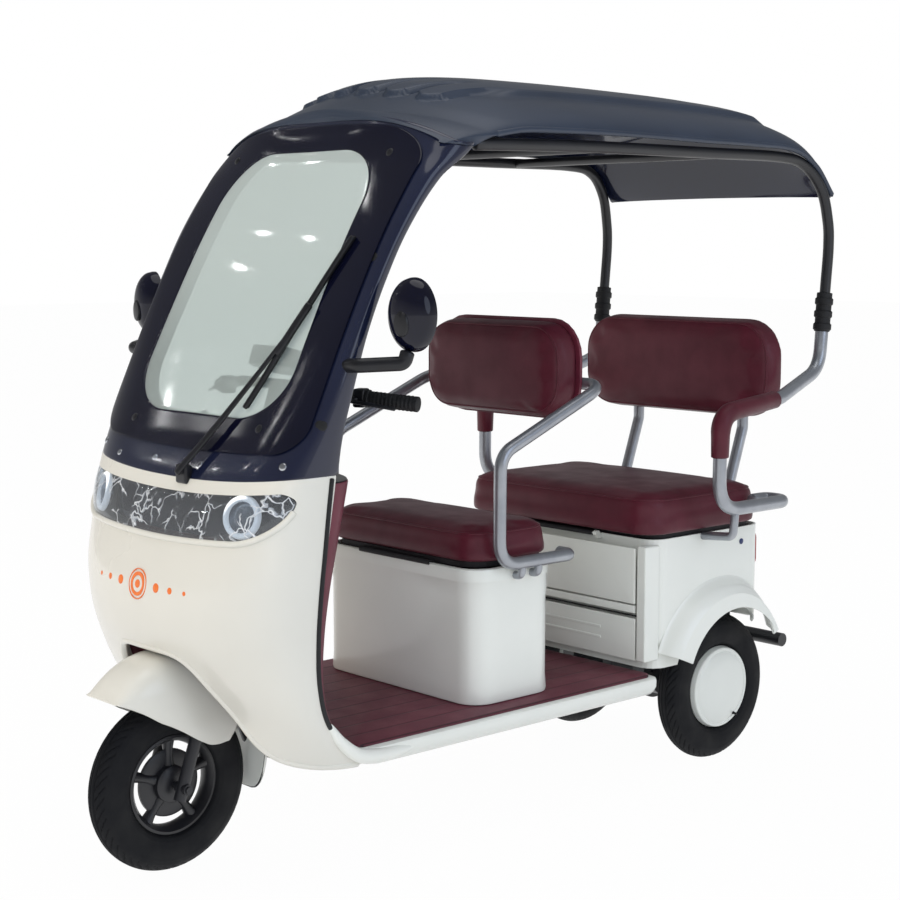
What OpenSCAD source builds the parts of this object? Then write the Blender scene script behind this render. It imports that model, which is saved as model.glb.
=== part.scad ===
// Electric passenger tricycle with a canopy, windscreen and two bench seats.
// Millimetres. +Z is up, the front faces -Y and +X is the rider's left.
// The origin is on the ground under the centre of the whole vehicle.

/* [Wheels] */
// Place of the front axle along the vehicle
front_axle_y = -757; // [-770:1:-745]
// Distance from the front axle to the rear axle
wheelbase = 1445; // [1430:1:1470]
// Outside diameter of each tyre
tyre_d = 362; // [354:1:370]
// Width of each tyre
tyre_w = 68; // [64:1:74]
// Diameter of the rim at the tyre's bead
rim_d = 206; // [196:1:216]
// Distance between the centre planes of the rear tyres
rear_track = 447; // [438:1:454]
// Diameter of the domed cap on each rear wheel
hubcap_d = 224; // [210:1:236]
// Height of the dome of each cap past the tyre
hubcap_dome = 14; // [8:1:20]
// Diameter of the front axle
front_axle_d = 14; // [12:1:18]
// Diameter of the rear axle shaft
rear_axle_d = 24; // [20:1:28]
// Number of spokes of the front wheel
spoke_count = 5; // [4:1:7]

/* [Steering] */
// Lean of the steering axis from upright, in degrees
rake = 19; // [17:0.5:21]
// Distance from the front axle back to the steering axis
axle_lead = 17; // [12:1:25]
// Diameter of the steering column
column_d = 36; // [32:1:40]
// Diameter of each fork leg
fork_leg_d = 26; // [22:1:28]
// Side gap between the tyre and each fork leg
fork_gap = 8; // [6:1:12]
// Diameter of the handlebar tube
bar_d = 22; // [20:1:25]
// Diameter of each handlebar grip
grip_d = 33; // [30:1:36]
// Distance from the centre to the outer end of each grip
bar_reach = 340; // [320:2:346]
// Height of the handlebar's clamp
bar_z = 968; // [950:2:985]

/* [Front guard] */
// Distance from the axle to the crown of the front guard
guard_r = 275; // [268:1:279]
// Half width of the front guard
guard_half = 88; // [84:1:94]
// Wall of the front guard
guard_wall = 4; // [3:0.5:6]

/* [Front shell] */
// Wall of the front shell
shell_wall = 5; // [4:0.5:8]
// Height of the top of the wheel arch
arch_top = 470; // [466:1:480]
// Half width of the wheel arch at half its height
arch_half = 185; // [176:1:194]
// Height of the lower edge of the front shell
shell_low = 240; // [236:1:246]
// Height of the joint between the shell and the cowl at the centre
waist_z = 800; // [794:1:806]
// Rise of that joint towards the sides
waist_rise = 24; // [16:1:30]
// Height of the lower edge of the headlamp band at the centre
lamp_low = 690; // [684:1:700]
// Distance from the centre to each end of the headlamp band
lamp_reach = 336; // [330:1:340]
// Distance from the centre to each headlamp
lamp_x = 243; // [236:1:250]
// Height of the headlamps
lamp_z = 754; // [750:1:758]
// Outside diameter of each lamp ring
lamp_d = 84; // [76:1:88]

/* [Windscreen] */
// Wall of the cowl that frames the windscreen
cowl_wall = 20; // [16:1:24]
// Height of the top of the cowl at the centre
cowl_top = 1530; // [1524:1:1536]
// Drop of the top of the cowl towards the sides
cowl_drop = 58; // [50:1:62]
// Thickness of the windscreen
glass_t = 4; // [3:0.5:6]
// Height of the bottom of the clear window
window_low = 935; // [925:1:950]
// Height of the top of the clear window
window_high = 1462; // [1450:1:1468]
// Half width of the clear window at its bottom
window_half_low = 186; // [176:1:200]
// Half width of the clear window at its top
window_half_high = 236; // [226:1:246]
// Corner radius of the clear window
window_corner = 70; // [50:2:90]

/* [Roof] */
// Wall of the roof
roof_wall = 5; // [4:0.5:8]
// Height of the raised ribs of the roof
rib_h = 7; // [4:0.5:9]
// Distance between the raised ribs of the roof
rib_pitch = 80; // [74:1:86]
// Diameter of the roof tubes
roof_tube_d = 26; // [22:1:28]
// Distance from the centre to each roof post
post_x = 368; // [362:1:372]

/* [Floor] */
// Height of the top of the floor
floor_z = 270; // [264:1:276]
// Thickness of the floor pan
floor_t = 30; // [24:1:34]
// Half width of the floor pan
floor_half = 330; // [322:1:336]
// Thickness of the floor mat
mat_t = 6; // [4:0.5:8]

/* [Front seat] */
// Half width of the front seat box
front_box_half = 250; // [240:1:256]
// Length of the front seat box
front_box_len = 244; // [230:1:256]
// Height of the front seat box
front_box_h = 300; // [290:1:310]
// Wall of each seat box
box_wall = 5; // [4:0.5:8]
// Thickness of the board under each cushion
board_t = 12; // [8:1:16]
// Thickness of the front cushion
front_cushion_h = 72; // [60:1:84]
// Height of the front backrest
front_back_h = 222; // [206:2:236]
// Height of the lower edge of the front backrest
front_back_z = 876; // [866:1:886]
// Diameter of the front seat rails
front_rail_d = 28; // [25:1:30]
// Distance from the centre to each front seat rail
front_rail_x = 286; // [280:1:294]

/* [Rear seat] */
// Half width of the rear body
rear_half = 300; // [292:1:306]
// Length of the rear body
rear_len = 405; // [395:1:415]
// Height of the top of the rear body
rear_top = 586; // [580:1:592]
// Half width of the rear cushion
rear_cushion_half = 320; // [310:1:326]
// Thickness of the rear cushion
rear_cushion_h = 92; // [80:1:104]
// Height of the rear backrest
rear_back_h = 250; // [236:2:262]
// Height of the lower edge of the rear backrest
rear_back_z = 838; // [828:1:848]
// Half width of the rear backrest
rear_back_half = 312; // [304:1:320]
// Thickness of each backrest
back_t = 64; // [54:1:72]
// Diameter of the rear rails
rear_rail_d = 32; // [28:1:34]
// Distance from the centre to each armrest
armrest_x = 395; // [388:1:402]
// Diameter of each armrest pad
armrest_d = 48; // [44:1:54]

/* [Mirrors] */
// Distance from the centre to the middle of each mirror
mirror_x = 453; // [446:1:460]
// Height of the middle of each mirror
mirror_z = 1137; // [1130:1:1144]
// Width of each mirror
mirror_w = 104; // [96:1:112]
// Height of each mirror
mirror_h = 142; // [134:1:150]

/* [Fits] */
// Gap between still pieces that seat on each other
seat_gap = 0.3; // [0.2:0.05:0.5]
// Running clearance on the radius of each shaft
run_gap = 0.05; // [0.02:0.01:0.1]
// Gap between the panels where they meet
panel_gap = 1; // [0.5:0.1:2]

/* [Hidden] */
$fn = 48;

axle_z = tyre_d / 2;
rear_axle_y = front_axle_y + wheelbase;
mat_top = floor_z + mat_t;
sides = [-1, 1];

// Rows of the nose form, measured from the front axle:
// height, centre y, rear edge y, half width, squareness of the plan
nose_rows = [
  [240, 35, 257, 330, 2.2],
  [280, 31, 208, 336, 2.2],
  [340, 24, 150, 341, 2.2],
  [420, -20, 125, 345, 2.2],
  [510, -59, 121, 348, 2.25],
  [600, -62, 128, 350, 2.5],
  [690, -29, 142, 351, 3.1],
  [800, 9, 161, 352, 3.7],
  [900, 45, 177, 354, 3.9],
  [1000, 89, 209, 358, 3.8],
  [1100, 144, 237, 362, 3.8],
  [1200, 200, 283, 366, 3.8],
  [1300, 258, 341, 369, 3.6],
  [1400, 317, 432, 370, 3.3],
  [1450, 339, 512, 370, 3.1],
  [1490, 350, 528, 370, 3],
  [1540, 361, 537, 369, 3]
];

// Rows of the roof form: station, centre y, centre z, edge y, edge z, half width;
// y is a share of the roof's length
roof_rows = [
  [0.04, 0.021, 1549, 0.156, 1488, 369],
  [0.10, 0.074, 1580, 0.215, 1500, 370],
  [0.18, 0.148, 1606, 0.289, 1503, 371],
  [0.28, 0.252, 1621, 0.385, 1504, 372],
  [0.42, 0.407, 1624, 0.504, 1503, 372],
  [0.58, 0.593, 1621, 0.637, 1500, 372],
  [0.74, 0.770, 1613, 0.778, 1498, 372],
  [0.86, 0.889, 1596, 0.889, 1490, 371],
  [0.94, 0.959, 1548, 0.952, 1452, 370],
  [1.00, 1.000, 1392, 1.000, 1388, 368]
];

// Smooth curves through table rows

function bracket(rows, s, i = 0) =
  i >= len(rows) - 2 || s < rows[i + 1][0] ? i : bracket(rows, s, i + 1);

function limit(v, low, high) = min(max(v, low), high);

function ease(u) = u * u * (3 - 2 * u);

function hermite(a, b, slope_a, slope_b, u) =
  a * (1 - ease(u)) + b * ease(u) + slope_a * u * (1 - u) * (1 - u) - slope_b * u * u * (1 - u);

function smooth(rows, s, c) =
  let (
    i = bracket(rows, s),
    before = rows[max(i - 1, 0)],
    start = rows[i],
    end = rows[i + 1],
    after = rows[min(i + 2, len(rows) - 1)],
    span = end[0] - start[0],
    slope_a = span * (end[c] - before[c]) / (end[0] - before[0]),
    slope_b = span * (after[c] - start[c]) / (after[0] - start[0])
  )
  hermite(start[c], end[c], slope_a, slope_b, limit((s - start[0]) / span, 0, 1));

function spread(count, low = -1, high = 1) =
  [for (i = [0 : count - 1]) low + (high - low) * i / (count - 1)];

// Closed sheet between an outer and an inner grid of points;
// seen from outside, rows go up and columns go right
module sheet(outer, inner) {
  rows = len(outer);
  cols = len(outer[0]);
  count = rows * cols;
  points = concat([for (row = outer) each row], [for (row = inner) each row]);
  function at(i, j) = i * cols + j;
  skin = [
    for (i = [0 : rows - 2], j = [0 : cols - 2])
      let (a = at(i, j), b = at(i, j + 1), c = at(i + 1, j + 1), d = at(i + 1, j))
        each [
          [a, d, c], [a, c, b],
          [a + count, c + count, d + count], [a + count, b + count, c + count]
        ]
  ];
  ends = [
    for (j = [0 : cols - 2])
      let (a = at(0, j), b = at(0, j + 1), c = at(rows - 1, j + 1), d = at(rows - 1, j))
        each [
          [a, b, b + count], [a, b + count, a + count],
          [c, d, d + count], [c, d + count, c + count]
        ]
  ];
  edges = [
    for (i = [0 : rows - 2])
      let (a = at(i, 0), d = at(i + 1, 0), b = at(i, cols - 1), c = at(i + 1, cols - 1))
        each [
          [d, a, a + count], [d, a + count, d + count],
          [b, c, c + count], [b, c + count, b + count]
        ]
  ];
  polyhedron(points, concat(skin, ends, edges), convexity = 8);
}

// Nose form shared by the shell, the lamp band, the cowl and the windscreen

function nose_centre(z) = front_axle_y + smooth(nose_rows, z, 1);
function nose_rear(z) = front_axle_y + smooth(nose_rows, z, 2);
function nose_half(z) = smooth(nose_rows, z, 3);
function nose_square(z) = smooth(nose_rows, z, 4);

function nose_point(t, z, inset) =
  let (power = 2 / nose_square(z), depth = nose_rear(z) - nose_centre(z) - inset)
  [
    (nose_half(z) - inset) * sign(t) * pow(abs(sin(90 * t)), power),
    nose_rear(z) - depth * pow(cos(90 * t), power),
    z
  ];

function nose_y(x, z, inset) =
  let (
    n = nose_square(z),
    share = min(abs(x) / (nose_half(z) - inset), 1),
    depth = nose_rear(z) - nose_centre(z) - inset
  )
  nose_rear(z) - depth * pow(1 - pow(share, n), 1 / n);

module nose_sheet(columns, rows, low, high, outside, inside) {
  function height(t, v) = low[t] + (high[t] - low[t]) * v;
  function layer(inset) = [
    for (v = spread(rows, 0, 1))
      [for (t = [0 : len(columns) - 1]) nose_point(columns[t], height(t, v), inset)]
  ];
  sheet(layer(outside), layer(inside));
}

function arch_edge(x) = shell_low + (arch_top - shell_low) / (1 + pow(abs(x) / arch_half, 5.6));
waist_half = 338;
function waist(x) = waist_z + waist_rise * pow(abs(x) / waist_half, 2);
lamp_edge_rise = 24;
band_tip_z = 786;
band_strip = 26;
band_turn = 290;
function tip_bend(x, start) =
  1 - sqrt(1 - pow(limit((abs(x) - start) / (lamp_reach - start), 0, 1), 2));
function band_low(x) =
  let (flat = lamp_low + lamp_edge_rise * pow(min(abs(x), lamp_x) / lamp_x, 2))
  flat + (band_tip_z - flat) * tip_bend(x, lamp_x);
function band_high(x) =
  let (flat = waist(min(abs(x), band_turn)) - band_strip)
  flat + (band_tip_z - flat) * tip_bend(x, band_turn);
function cowl_edge(x) = cowl_top - cowl_drop * pow(abs(x) / post_x, 3);

shell_columns = spread(37);
arch_view_z = 400;
function column_x(columns, z) = [for (t = columns) nose_point(t, z, 0).x];

module band_cut() {
  edge = [for (u = spread(41)) lamp_reach * sign(u) * (1 - pow(1 - abs(u), 1.6))];
  depth = wheelbase / 4;
  translate([0, front_axle_y, 0]) rotate([90, 0, 0]) translate([0, 0, -depth])
    linear_extrude(height = 2 * depth) polygon(concat(
      [for (x = edge) [x, band_low(x)]],
      [for (i = [len(edge) - 2 : -1 : 1]) [edge[i], band_high(edge[i])]]
    ));
}

module front_shell() {
  low = [for (x = column_x(shell_columns, arch_view_z)) arch_edge(x)];
  high = [for (x = column_x(shell_columns, band_tip_z)) waist(x) - panel_gap];
  color("ivory") difference() {
    nose_sheet(shell_columns, 14, low, high, 0, shell_wall);
    band_cut();
  }
}

// Headlamp unit behind the band

band_columns = spread(27, -0.73, 0.73);
housing_depth = 34;
housing_lap = 8;
band_x = column_x(band_columns, lamp_z);
lamp_tilt = 12;
lamp_turn = 10;
lens_d = 46;
lamp_sink = 22;
lamp_t = 12;
cover_gap = 3;
lens_seat = 4;

module lamp_place(side) {
  face = nose_y(lamp_x, lamp_z, shell_wall + seat_gap);
  translate([side * lamp_x, face, lamp_z]) rotate([90 - lamp_tilt, 0, side * lamp_turn]) children();
}

module headlamp_housing() {
  low = [for (x = band_x) band_low(x) - housing_lap];
  high = [for (x = band_x) band_high(x) + housing_lap];
  bowl = lamp_d + 2 * seat_gap;
  color("#15161a") difference() {
    nose_sheet(band_columns, 4, low, high, shell_wall + seat_gap, shell_wall + housing_depth);
    for (side = sides) lamp_place(side) translate([0, 0, -lamp_sink]) cylinder(h = 3 * lamp_sink, d = bowl);
  }
}

module headlamps() {
  color("whitesmoke") for (side = sides) lamp_place(side) translate([0, 0, -lamp_sink + seat_gap]) {
    difference() {
      cylinder(h = lamp_t, d = lamp_d);
      translate([0, 0, lens_seat]) cylinder(h = lamp_t, d = lens_d + 10);
    }
    translate([0, 0, lens_seat - 0.1]) rotate_extrude() intersection() {
      translate([0, -28]) circle(r = 36);
      square([lens_d / 2, 10]);
    }
  }
}

module headlamp_cover() {
  low = [for (x = band_x) band_low(x) + cover_gap];
  high = [for (x = band_x) band_high(x) - cover_gap];
  color("#8899a5") nose_sheet(band_columns, 4, low, high, 0, shell_wall - seat_gap);
}

// Cowl, border and windscreen

cowl_columns = spread(33);

module window_cut(margin) {
  low = window_low - margin;
  high = window_high + margin;
  half_low = window_half_low + margin;
  half_high = window_half_high + margin;
  r = window_corner;
  top_r = 1.6 * window_corner;
  depth = wheelbase / 2;
  translate([0, front_axle_y - 100, 0]) rotate([90, 0, 0]) translate([0, 0, -depth])
    linear_extrude(height = depth) polygon([
      each [for (a = [180 : 15 : 270]) [-half_low + r, low + r] + r * [cos(a), sin(a)]],
      each [for (a = [270 : 15 : 360]) [half_low - r, low + r] + r * [cos(a), sin(a)]],
      each [for (a = [0 : 15 : 90]) [half_high - top_r, high - top_r] + top_r * [cos(a), sin(a)]],
      each [for (a = [90 : 15 : 180]) [-half_high + top_r, high - top_r] + top_r * [cos(a), sin(a)]]
    ]);
}

module windscreen_cowl() {
  low = [for (x = column_x(cowl_columns, waist_z)) waist(x) + panel_gap];
  high = [for (x = column_x(cowl_columns, cowl_top)) cowl_edge(x)];
  color("#14152a") difference() {
    nose_sheet(cowl_columns, 16, low, high, 0, cowl_wall);
    window_cut(0);
  }
}

border_t = 3;
border_seat = 1.8;
border_low = 30;
border_high = 34;
border_reach = 0.62;

function border_half(v) = border_reach * pow(1 - pow(abs(2 * v - 1), 9), 1 / 9);

module screen_border() {
  shares = spread(12, 0.004, 0.996);
  function edge_low(t) = waist(nose_point(t, waist_z, 0).x) + border_low;
  function edge_high(t) = cowl_edge(nose_point(t, cowl_top, 0).x) - border_high;
  function layer(inset) = [
    for (v = shares)
      [for (t = spread(19)) let (s = t * border_half(v))
        nose_point(s, edge_low(s) + (edge_high(s) - edge_low(s)) * v, inset)]
  ];
  color("#0b0b12") difference() {
    sheet(layer(-border_seat - border_t), layer(-border_seat));
    window_cut(0);
  }
}

module windscreen() {
  columns = spread(11, -0.5, 0.5);
  low = [for (t = columns) window_low - 40];
  high = [for (t = columns) window_high + 20];
  color("#cfd8d8") intersection() {
    nose_sheet(columns, 9, low, high, 0, glass_t);
    window_cut(-seat_gap);
  }
}

// Rods and bent tubes

// How much thicker a bend is than the straight tubes that run into it, and how far they do
weld = 0.6;
weld_run = 2;

function unit(v) = v / norm(v);

module along(start, direction) {
  upright = abs(direction.z) > 0.9;
  side = unit(upright ? [1, 0, 0] - direction * direction.x : cross([0, 0, 1], direction));
  up = cross(direction, side);
  multmatrix([
    [side.x, up.x, direction.x, start.x],
    [side.y, up.y, direction.y, start.y],
    [side.z, up.z, direction.z, start.z]
  ]) children();
}

module rod(start, end, d) {
  along(start, unit(end - start)) cylinder(h = norm(end - start), d = d);
}

function turn_at(points, i) =
  acos(limit(unit(points[i] - points[i - 1]) * unit(points[i + 1] - points[i]), -1, 1));
function bend_cut(points, i, bend) = bend * tan(turn_at(points, i) / 2);
function bend_start(points, i, bend) =
  points[i] - unit(points[i] - points[i - 1]) * bend_cut(points, i, bend);
function bend_end(points, i, bend) =
  points[i] + unit(points[i + 1] - points[i]) * bend_cut(points, i, bend);

module elbow(points, i, d, bend) {
  ahead = unit(points[i] - points[i - 1]);
  start = bend_start(points, i, bend);
  inward = unit(bend_end(points, i, bend) - points[i] - (points[i] - start));
  out = -unit(inward - ahead * (inward * ahead));
  centre = start - out * bend;
  lift = cross(out, ahead);
  multmatrix([
    [out.x, ahead.x, lift.x, centre.x],
    [out.y, ahead.y, lift.y, centre.y],
    [out.z, ahead.z, lift.z, centre.z]
  ]) rotate_extrude(angle = turn_at(points, i)) translate([bend, 0]) circle(d = d + weld);
}

module ball(place, d) {
  translate(place) sphere(d = d + weld);
}

module tube_run(points, d, bend) {
  last = len(points) - 1;
  for (i = [0 : last - 1]) {
    run = weld_run * unit(points[i + 1] - points[i]);
    rod(
      i == 0 ? points[0] : bend_end(points, i, bend) - run,
      i == last - 1 ? points[last] : bend_start(points, i + 1, bend) + run,
      d
    );
  }
  for (i = [1 : last - 1]) elbow(points, i, d, bend);
}

function mirrored(points, side) = [for (p = points) [side * p.x, p.y, p.z]];

function rounded(w, h, r, step = 15) = [
  each [for (a = [0 : step : 90]) [w / 2 - r, h / 2 - r] + r * [cos(a), sin(a)]],
  each [for (a = [90 : step : 180]) [-w / 2 + r, h / 2 - r] + r * [cos(a), sin(a)]],
  each [for (a = [180 : step : 270]) [-w / 2 + r, -h / 2 + r] + r * [cos(a), sin(a)]],
  each [for (a = [270 : step : 360]) [w / 2 - r, -h / 2 + r] + r * [cos(a), sin(a)]]
];

module slab(w, h, r, t) {
  linear_extrude(height = t) polygon(rounded(w, h, r));
}

// Tiers of a padded block: inset, share of the edge's roundness below the top
soft_edge = 22;
soft_tiers = [[0, 0.9], [0.1, 0.55], [0.3, 0.25], [0.55, 0.1], [0.9, 0]];

module soft_block(w, h, r, t) {
  for (tier = soft_tiers) {
    inset = 2 * soft_edge * tier[0];
    slab(w - inset, h - inset, r - inset / 2, t - soft_edge * tier[1]);
  }
}

// Inner shield behind the front shell, and the panel over it

shield_wall = 5;
shield_bulge_low = 40;
shield_bulge_high = 112;
shield_top = waist_z + 12;
shield_low = mat_top + seat_gap;
shield_inset = shell_wall + 2;

function shield_bulge(z) =
  shield_bulge_low + (shield_bulge_high - shield_bulge_low) * (z - shield_low) / (shield_top - shield_low);

function shield_point(t, z, depth) = [
  (nose_half(z) - shield_inset) * sign(t) * pow(abs(sin(90 * t)), 0.8),
  nose_rear(z) - shield_wall + (shield_bulge(z) + depth) * pow(cos(90 * t), 0.8),
  z
];

module inner_shield() {
  function layer(depth) = [
    for (z = spread(8, shield_low, shield_top))
      [for (t = spread(19)) shield_point(t, z, depth) + [0, depth, 0]]
  ];
  color("#5a1d2b") sheet(layer(0), layer(shield_wall));
}

dash_t = 5;
dash_z = shield_top + seat_gap;
column_hole_d = column_d + 24;

module dash_panel() {
  front = [for (t = spread(25, -0.9, 0.9)) nose_point(t, dash_z + dash_t, cowl_wall + seat_gap)];
  back = [for (t = spread(25, 0.94, -0.94)) shield_point(t, shield_top, shield_wall)];
  color("#1b1b1f") difference() {
    translate([0, 0, dash_z]) linear_extrude(height = dash_t)
      polygon([for (p = concat(front, back)) [p.x, p.y]]);
    along(steer_at(dash_z - 60), steer_axis) cylinder(h = 140, d = column_hole_d);
  }
}

// Wiper on the windscreen

wiper_pivot = [28, 842];
wiper_elbow = [85, 1075];
blade_ends = [[45, 985], [165, 1285]];
wiper_stand = 16;
wiper_boss_d = 22;
wiper_arm_d = 9;

function on_screen(p, out) = [p[0], nose_y(p[0], p[1], -out), p[1]];
function off_screen(p) =
  unit([0, -1, (nose_y(p[0], p[1] + 5, 0) - nose_y(p[0], p[1] - 5, 0)) / 10]);

module wiper() {
  foot = on_screen(wiper_pivot, border_seat + border_t + 2 * seat_gap);
  pivot = on_screen(wiper_pivot, wiper_stand);
  tip = on_screen(wiper_elbow, wiper_stand);
  color("#17171b") {
    rod(foot, foot + off_screen(wiper_pivot) * (wiper_stand + 6), wiper_boss_d);
    rod(pivot, tip, wiper_arm_d);
    rod(on_screen(blade_ends[0], wiper_stand), on_screen(blade_ends[1], wiper_stand), wiper_arm_d + 1);
  }
}

// Mirrors on arms from the pillars

mirror_y = front_axle_y + 259;
mirror_depth = 46;
mirror_glass_t = 3;
arm_d = 13;
arm_root_z = 1040;
arm_drop = 92;
arm_flange = 30;

module oval(w, h) {
  polygon([for (a = [0 : 15 : 345]) [w / 2 * cos(a), h / 2 * sin(a)]]);
}

module mirror_place(side) {
  translate([side * mirror_x, mirror_y, mirror_z]) rotate([0, 0, side * 12]) children();
}

module mirror_heads() {
  bowl = [for (u = spread(5, 0, 1)) [mirror_depth * u, sqrt(1 - 0.86 * pow(1 - u, 2))]];
  color("#17171b") for (side = sides) mirror_place(side) difference() {
    hull() for (row = bowl) translate([0, row[0] - mirror_depth / 2, 0]) rotate([90, 0, 0])
      linear_extrude(height = 0.5) oval(mirror_w * row[1], mirror_h * row[1]);
    translate([0, mirror_depth / 2 + 1, 0]) rotate([90, 0, 0])
      linear_extrude(height = mirror_glass_t + 2) oval(mirror_w - 10, mirror_h - 10);
  }
}

module mirror_glasses() {
  color("#b9c4cc") for (side = sides) mirror_place(side)
    translate([0, mirror_depth / 2 - 0.5, 0]) rotate([90, 0, 0])
      linear_extrude(height = mirror_glass_t - seat_gap) oval(mirror_w - 11, mirror_h - 11);
}

module mirror_arms() {
  root_y = nose_rear(arm_root_z) - 34;
  root_x = nose_half(arm_root_z) + seat_gap;
  knee = [mirror_x, mirror_y - 4, mirror_z - arm_drop];
  foot = [root_x, root_y, arm_root_z];
  rise = arm_drop - mirror_h / 2 - seat_gap;
  color("#1d1d22") for (side = sides) {
    points = mirrored([foot, foot + [arm_flange, 0, 0], knee, knee + [0, 0, rise]], side);
    for (i = [0 : 2]) rod(points[i], points[i + 1], arm_d);
    for (i = [1 : 2]) ball(points[i], arm_d);
    rod(points[0], points[0] + [side * 8, 0, 0], arm_flange + 10);
  }
}

// Roof and the tubes that carry it

roof_front = front_axle_y + 357;
roof_rear = rear_axle_y + 262;
roof_power = 1.7;
roof_proud = 3;
roof_seat = 0.5;
rib_start = 0.1;
panel_half = 250;

function roof_y(share) = roof_front + (roof_rear - roof_front) * share;

function rib_lift(x, s) =
  let (
    finger = pow(max(cos(180 * (x / rib_pitch - 0.5)), 0), 0.5) * (abs(x) < 3 * rib_pitch ? 1 : 0),
    panel = ease(limit((panel_half + 12 - abs(x)) / 24, 0, 1)),
    start = ease(limit((s - rib_start) / 0.03, 0, 1)),
    blend = ease(limit((s - rib_start - 0.08) / 0.1, 0, 1)),
    stop = ease(limit((0.9 - s) / 0.08, 0, 1))
  )
  rib_h * start * stop * (finger * (1 - blend) + panel * blend);

function roof_side(s, across) =
  let (
    lift = pow(cos(90 * across), 2 / roof_power),
    edge = [roof_y(smooth(roof_rows, s, 3)), smooth(roof_rows, s, 4)],
    crown = [roof_y(smooth(roof_rows, s, 1)), smooth(roof_rows, s, 2)]
  )
  edge + (crown - edge) * lift;

function roof_x(across, half) = half * sign(across) * pow(abs(sin(90 * across)), 2 / roof_power);

function roof_point(s, across) =
  let (x = roof_x(across, smooth(roof_rows, s, 5)), side = roof_side(s, across))
  [x, side.x, side.y + rib_lift(x, s)];

function roof_front_point(across, inset) =
  let (x = roof_x(across, nose_half(cowl_edge(post_x)) - inset), z = cowl_edge(x) + roof_seat)
  [x, nose_y(x, z, inset), z];

roof_across = spread(41);
roof_stations = [
  0.04, 0.07, 0.1, 0.115, 0.13, 0.16, 0.2, 0.24, 0.3, 0.4,
  0.5, 0.6, 0.7, 0.8, 0.86, 0.9, 0.94, 0.97, 1
];

function roof_normal(s, across) =
  let (
    step = 0.01,
    low = roof_side(max(s - step, roof_rows[0][0]), across),
    high = roof_side(min(s + step, 1), across),
    run = unit(high - low)
  )
  [-run.y, run.x];

module canopy_roof() {
  skin = roof_wall;
  outer = concat(
    [[for (a = roof_across) roof_front_point(a, -roof_proud)]],
    [for (s = roof_stations) [for (a = roof_across) roof_point(s, a)]]
  );
  inner = concat(
    [[for (a = roof_across) roof_front_point(a, cowl_wall)]],
    [for (s = roof_stations) [for (a = roof_across)
      let (p = roof_point(s, a), n = roof_normal(s, a) * pow(cos(90 * a), 0.6))
        [p.x * (1 - skin / post_x), p.y - n.x * skin, p.z - n.y * skin - rib_lift(p.x, s)]
    ]]
  );
  color("#1d2740") sheet(outer, inner);
}

post_foot = [post_x, rear_axle_y + 229, 1057];
post_top = [post_x, rear_axle_y + 248, 1262];
sleeve_h = 93;
sleeve_d = 46;
sleeve_split = 45;
roof_tube_z = 1455;
roof_tube_x = 348;
roof_pad_d = 16;
roof_bend = 60;
// Stations of the roof where a cross tube carries it
roof_pads = [0.4, 0.7];

module roof_frame() {
  lean = unit(post_top - post_foot);
  start = post_foot + lean * (sleeve_split + seat_gap);
  front = [roof_tube_x, nose_rear(roof_tube_z + roof_tube_d / 2) + seat_gap, roof_tube_z];
  color("#16161a") union() {
    for (side = sides) tube_run(mirrored([
      start, post_top, [post_x - 6, rear_axle_y + 226, 1390],
      [roof_tube_x, rear_axle_y + 130, roof_tube_z], front
    ], side), roof_tube_d, roof_bend);
    for (s = roof_pads) {
      mid = [0, roof_y(smooth(roof_rows, s, 1)), roof_tube_z];
      high = smooth(roof_rows, s, 2) - roof_wall - 2 * seat_gap;
      rod(mid - [roof_tube_x, 0, 0], mid + [roof_tube_x, 0, 0], roof_tube_d - 4);
      rod(mid, [0, mid.y, high], roof_pad_d);
    }
  }
}

module post_sleeves() {
  lean = unit(post_top - post_foot);
  color("#121214") for (side = sides) {
    foot = mirrored([post_foot], side)[0];
    run = mirrored([lean], side)[0];
    difference() {
      union() {
        rod(foot, foot + run * sleeve_h, sleeve_d - 6);
        for (i = [0 : 5]) rod(foot + run * (16 * i), foot + run * (16 * i + 11), sleeve_d);
      }
      rod(foot - run, foot + run * sleeve_split, rear_rail_d + 2 * seat_gap);
      rod(foot + run * (sleeve_split - 1), foot + run * (sleeve_h + 1), roof_tube_d + 2 * seat_gap);
    }
  }
}

// Rear rails with the armrests

arm_y = rear_axle_y - 188;
arm_z = 897;
rail_low_z = 655;
rail_bend = 52;
rail_end_y = rear_axle_y + 47;
rail_points = [
  post_foot + unit(post_top - post_foot) * (sleeve_split - seat_gap),
  post_foot - unit(post_top - post_foot) * 92,
  [armrest_x, rear_axle_y + 32, arm_z],
  [armrest_x, arm_y, arm_z],
  [armrest_x, arm_y, rail_low_z],
  [armrest_x, rail_end_y, rail_low_z]
];
rail_foot_y = rear_axle_y - 60;
rail_foot_d = 24;
rail_foot_z = rear_top - 40;

module rear_rails() {
  color("#b8bcc2") for (side = sides) union() {
    tube_run(mirrored(rail_points, side), rear_rail_d, rail_bend);
    elbow_at = [side * armrest_x, rail_foot_y, rail_foot_z];
    rod([elbow_at.x, elbow_at.y, rail_low_z], elbow_at, rail_foot_d);
    rod(elbow_at, [side * (rear_half + seat_gap), elbow_at.y, elbow_at.z], rail_foot_d);
    ball(elbow_at, rail_foot_d);
  }
}

module armrest_pads() {
  pad = [
    rail_points[2] + [0, -30, 0], rail_points[3], rail_points[3] + [0, 0, -104]
  ];
  longer = [pad[0] + [0, 1, 0], pad[1], pad[2] + [0, 0, -1]];
  color("#5a1d2b") for (side = sides) difference() {
    tube_run(mirrored(pad, side), armrest_d, rail_bend);
    tube_run(mirrored(longer, side), rear_rail_d + 2 * seat_gap, rail_bend);
  }
}

// Backrests

rear_back_y = rear_axle_y + 92;
post_gap_x = 175;
back_post_d = 28;

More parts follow.
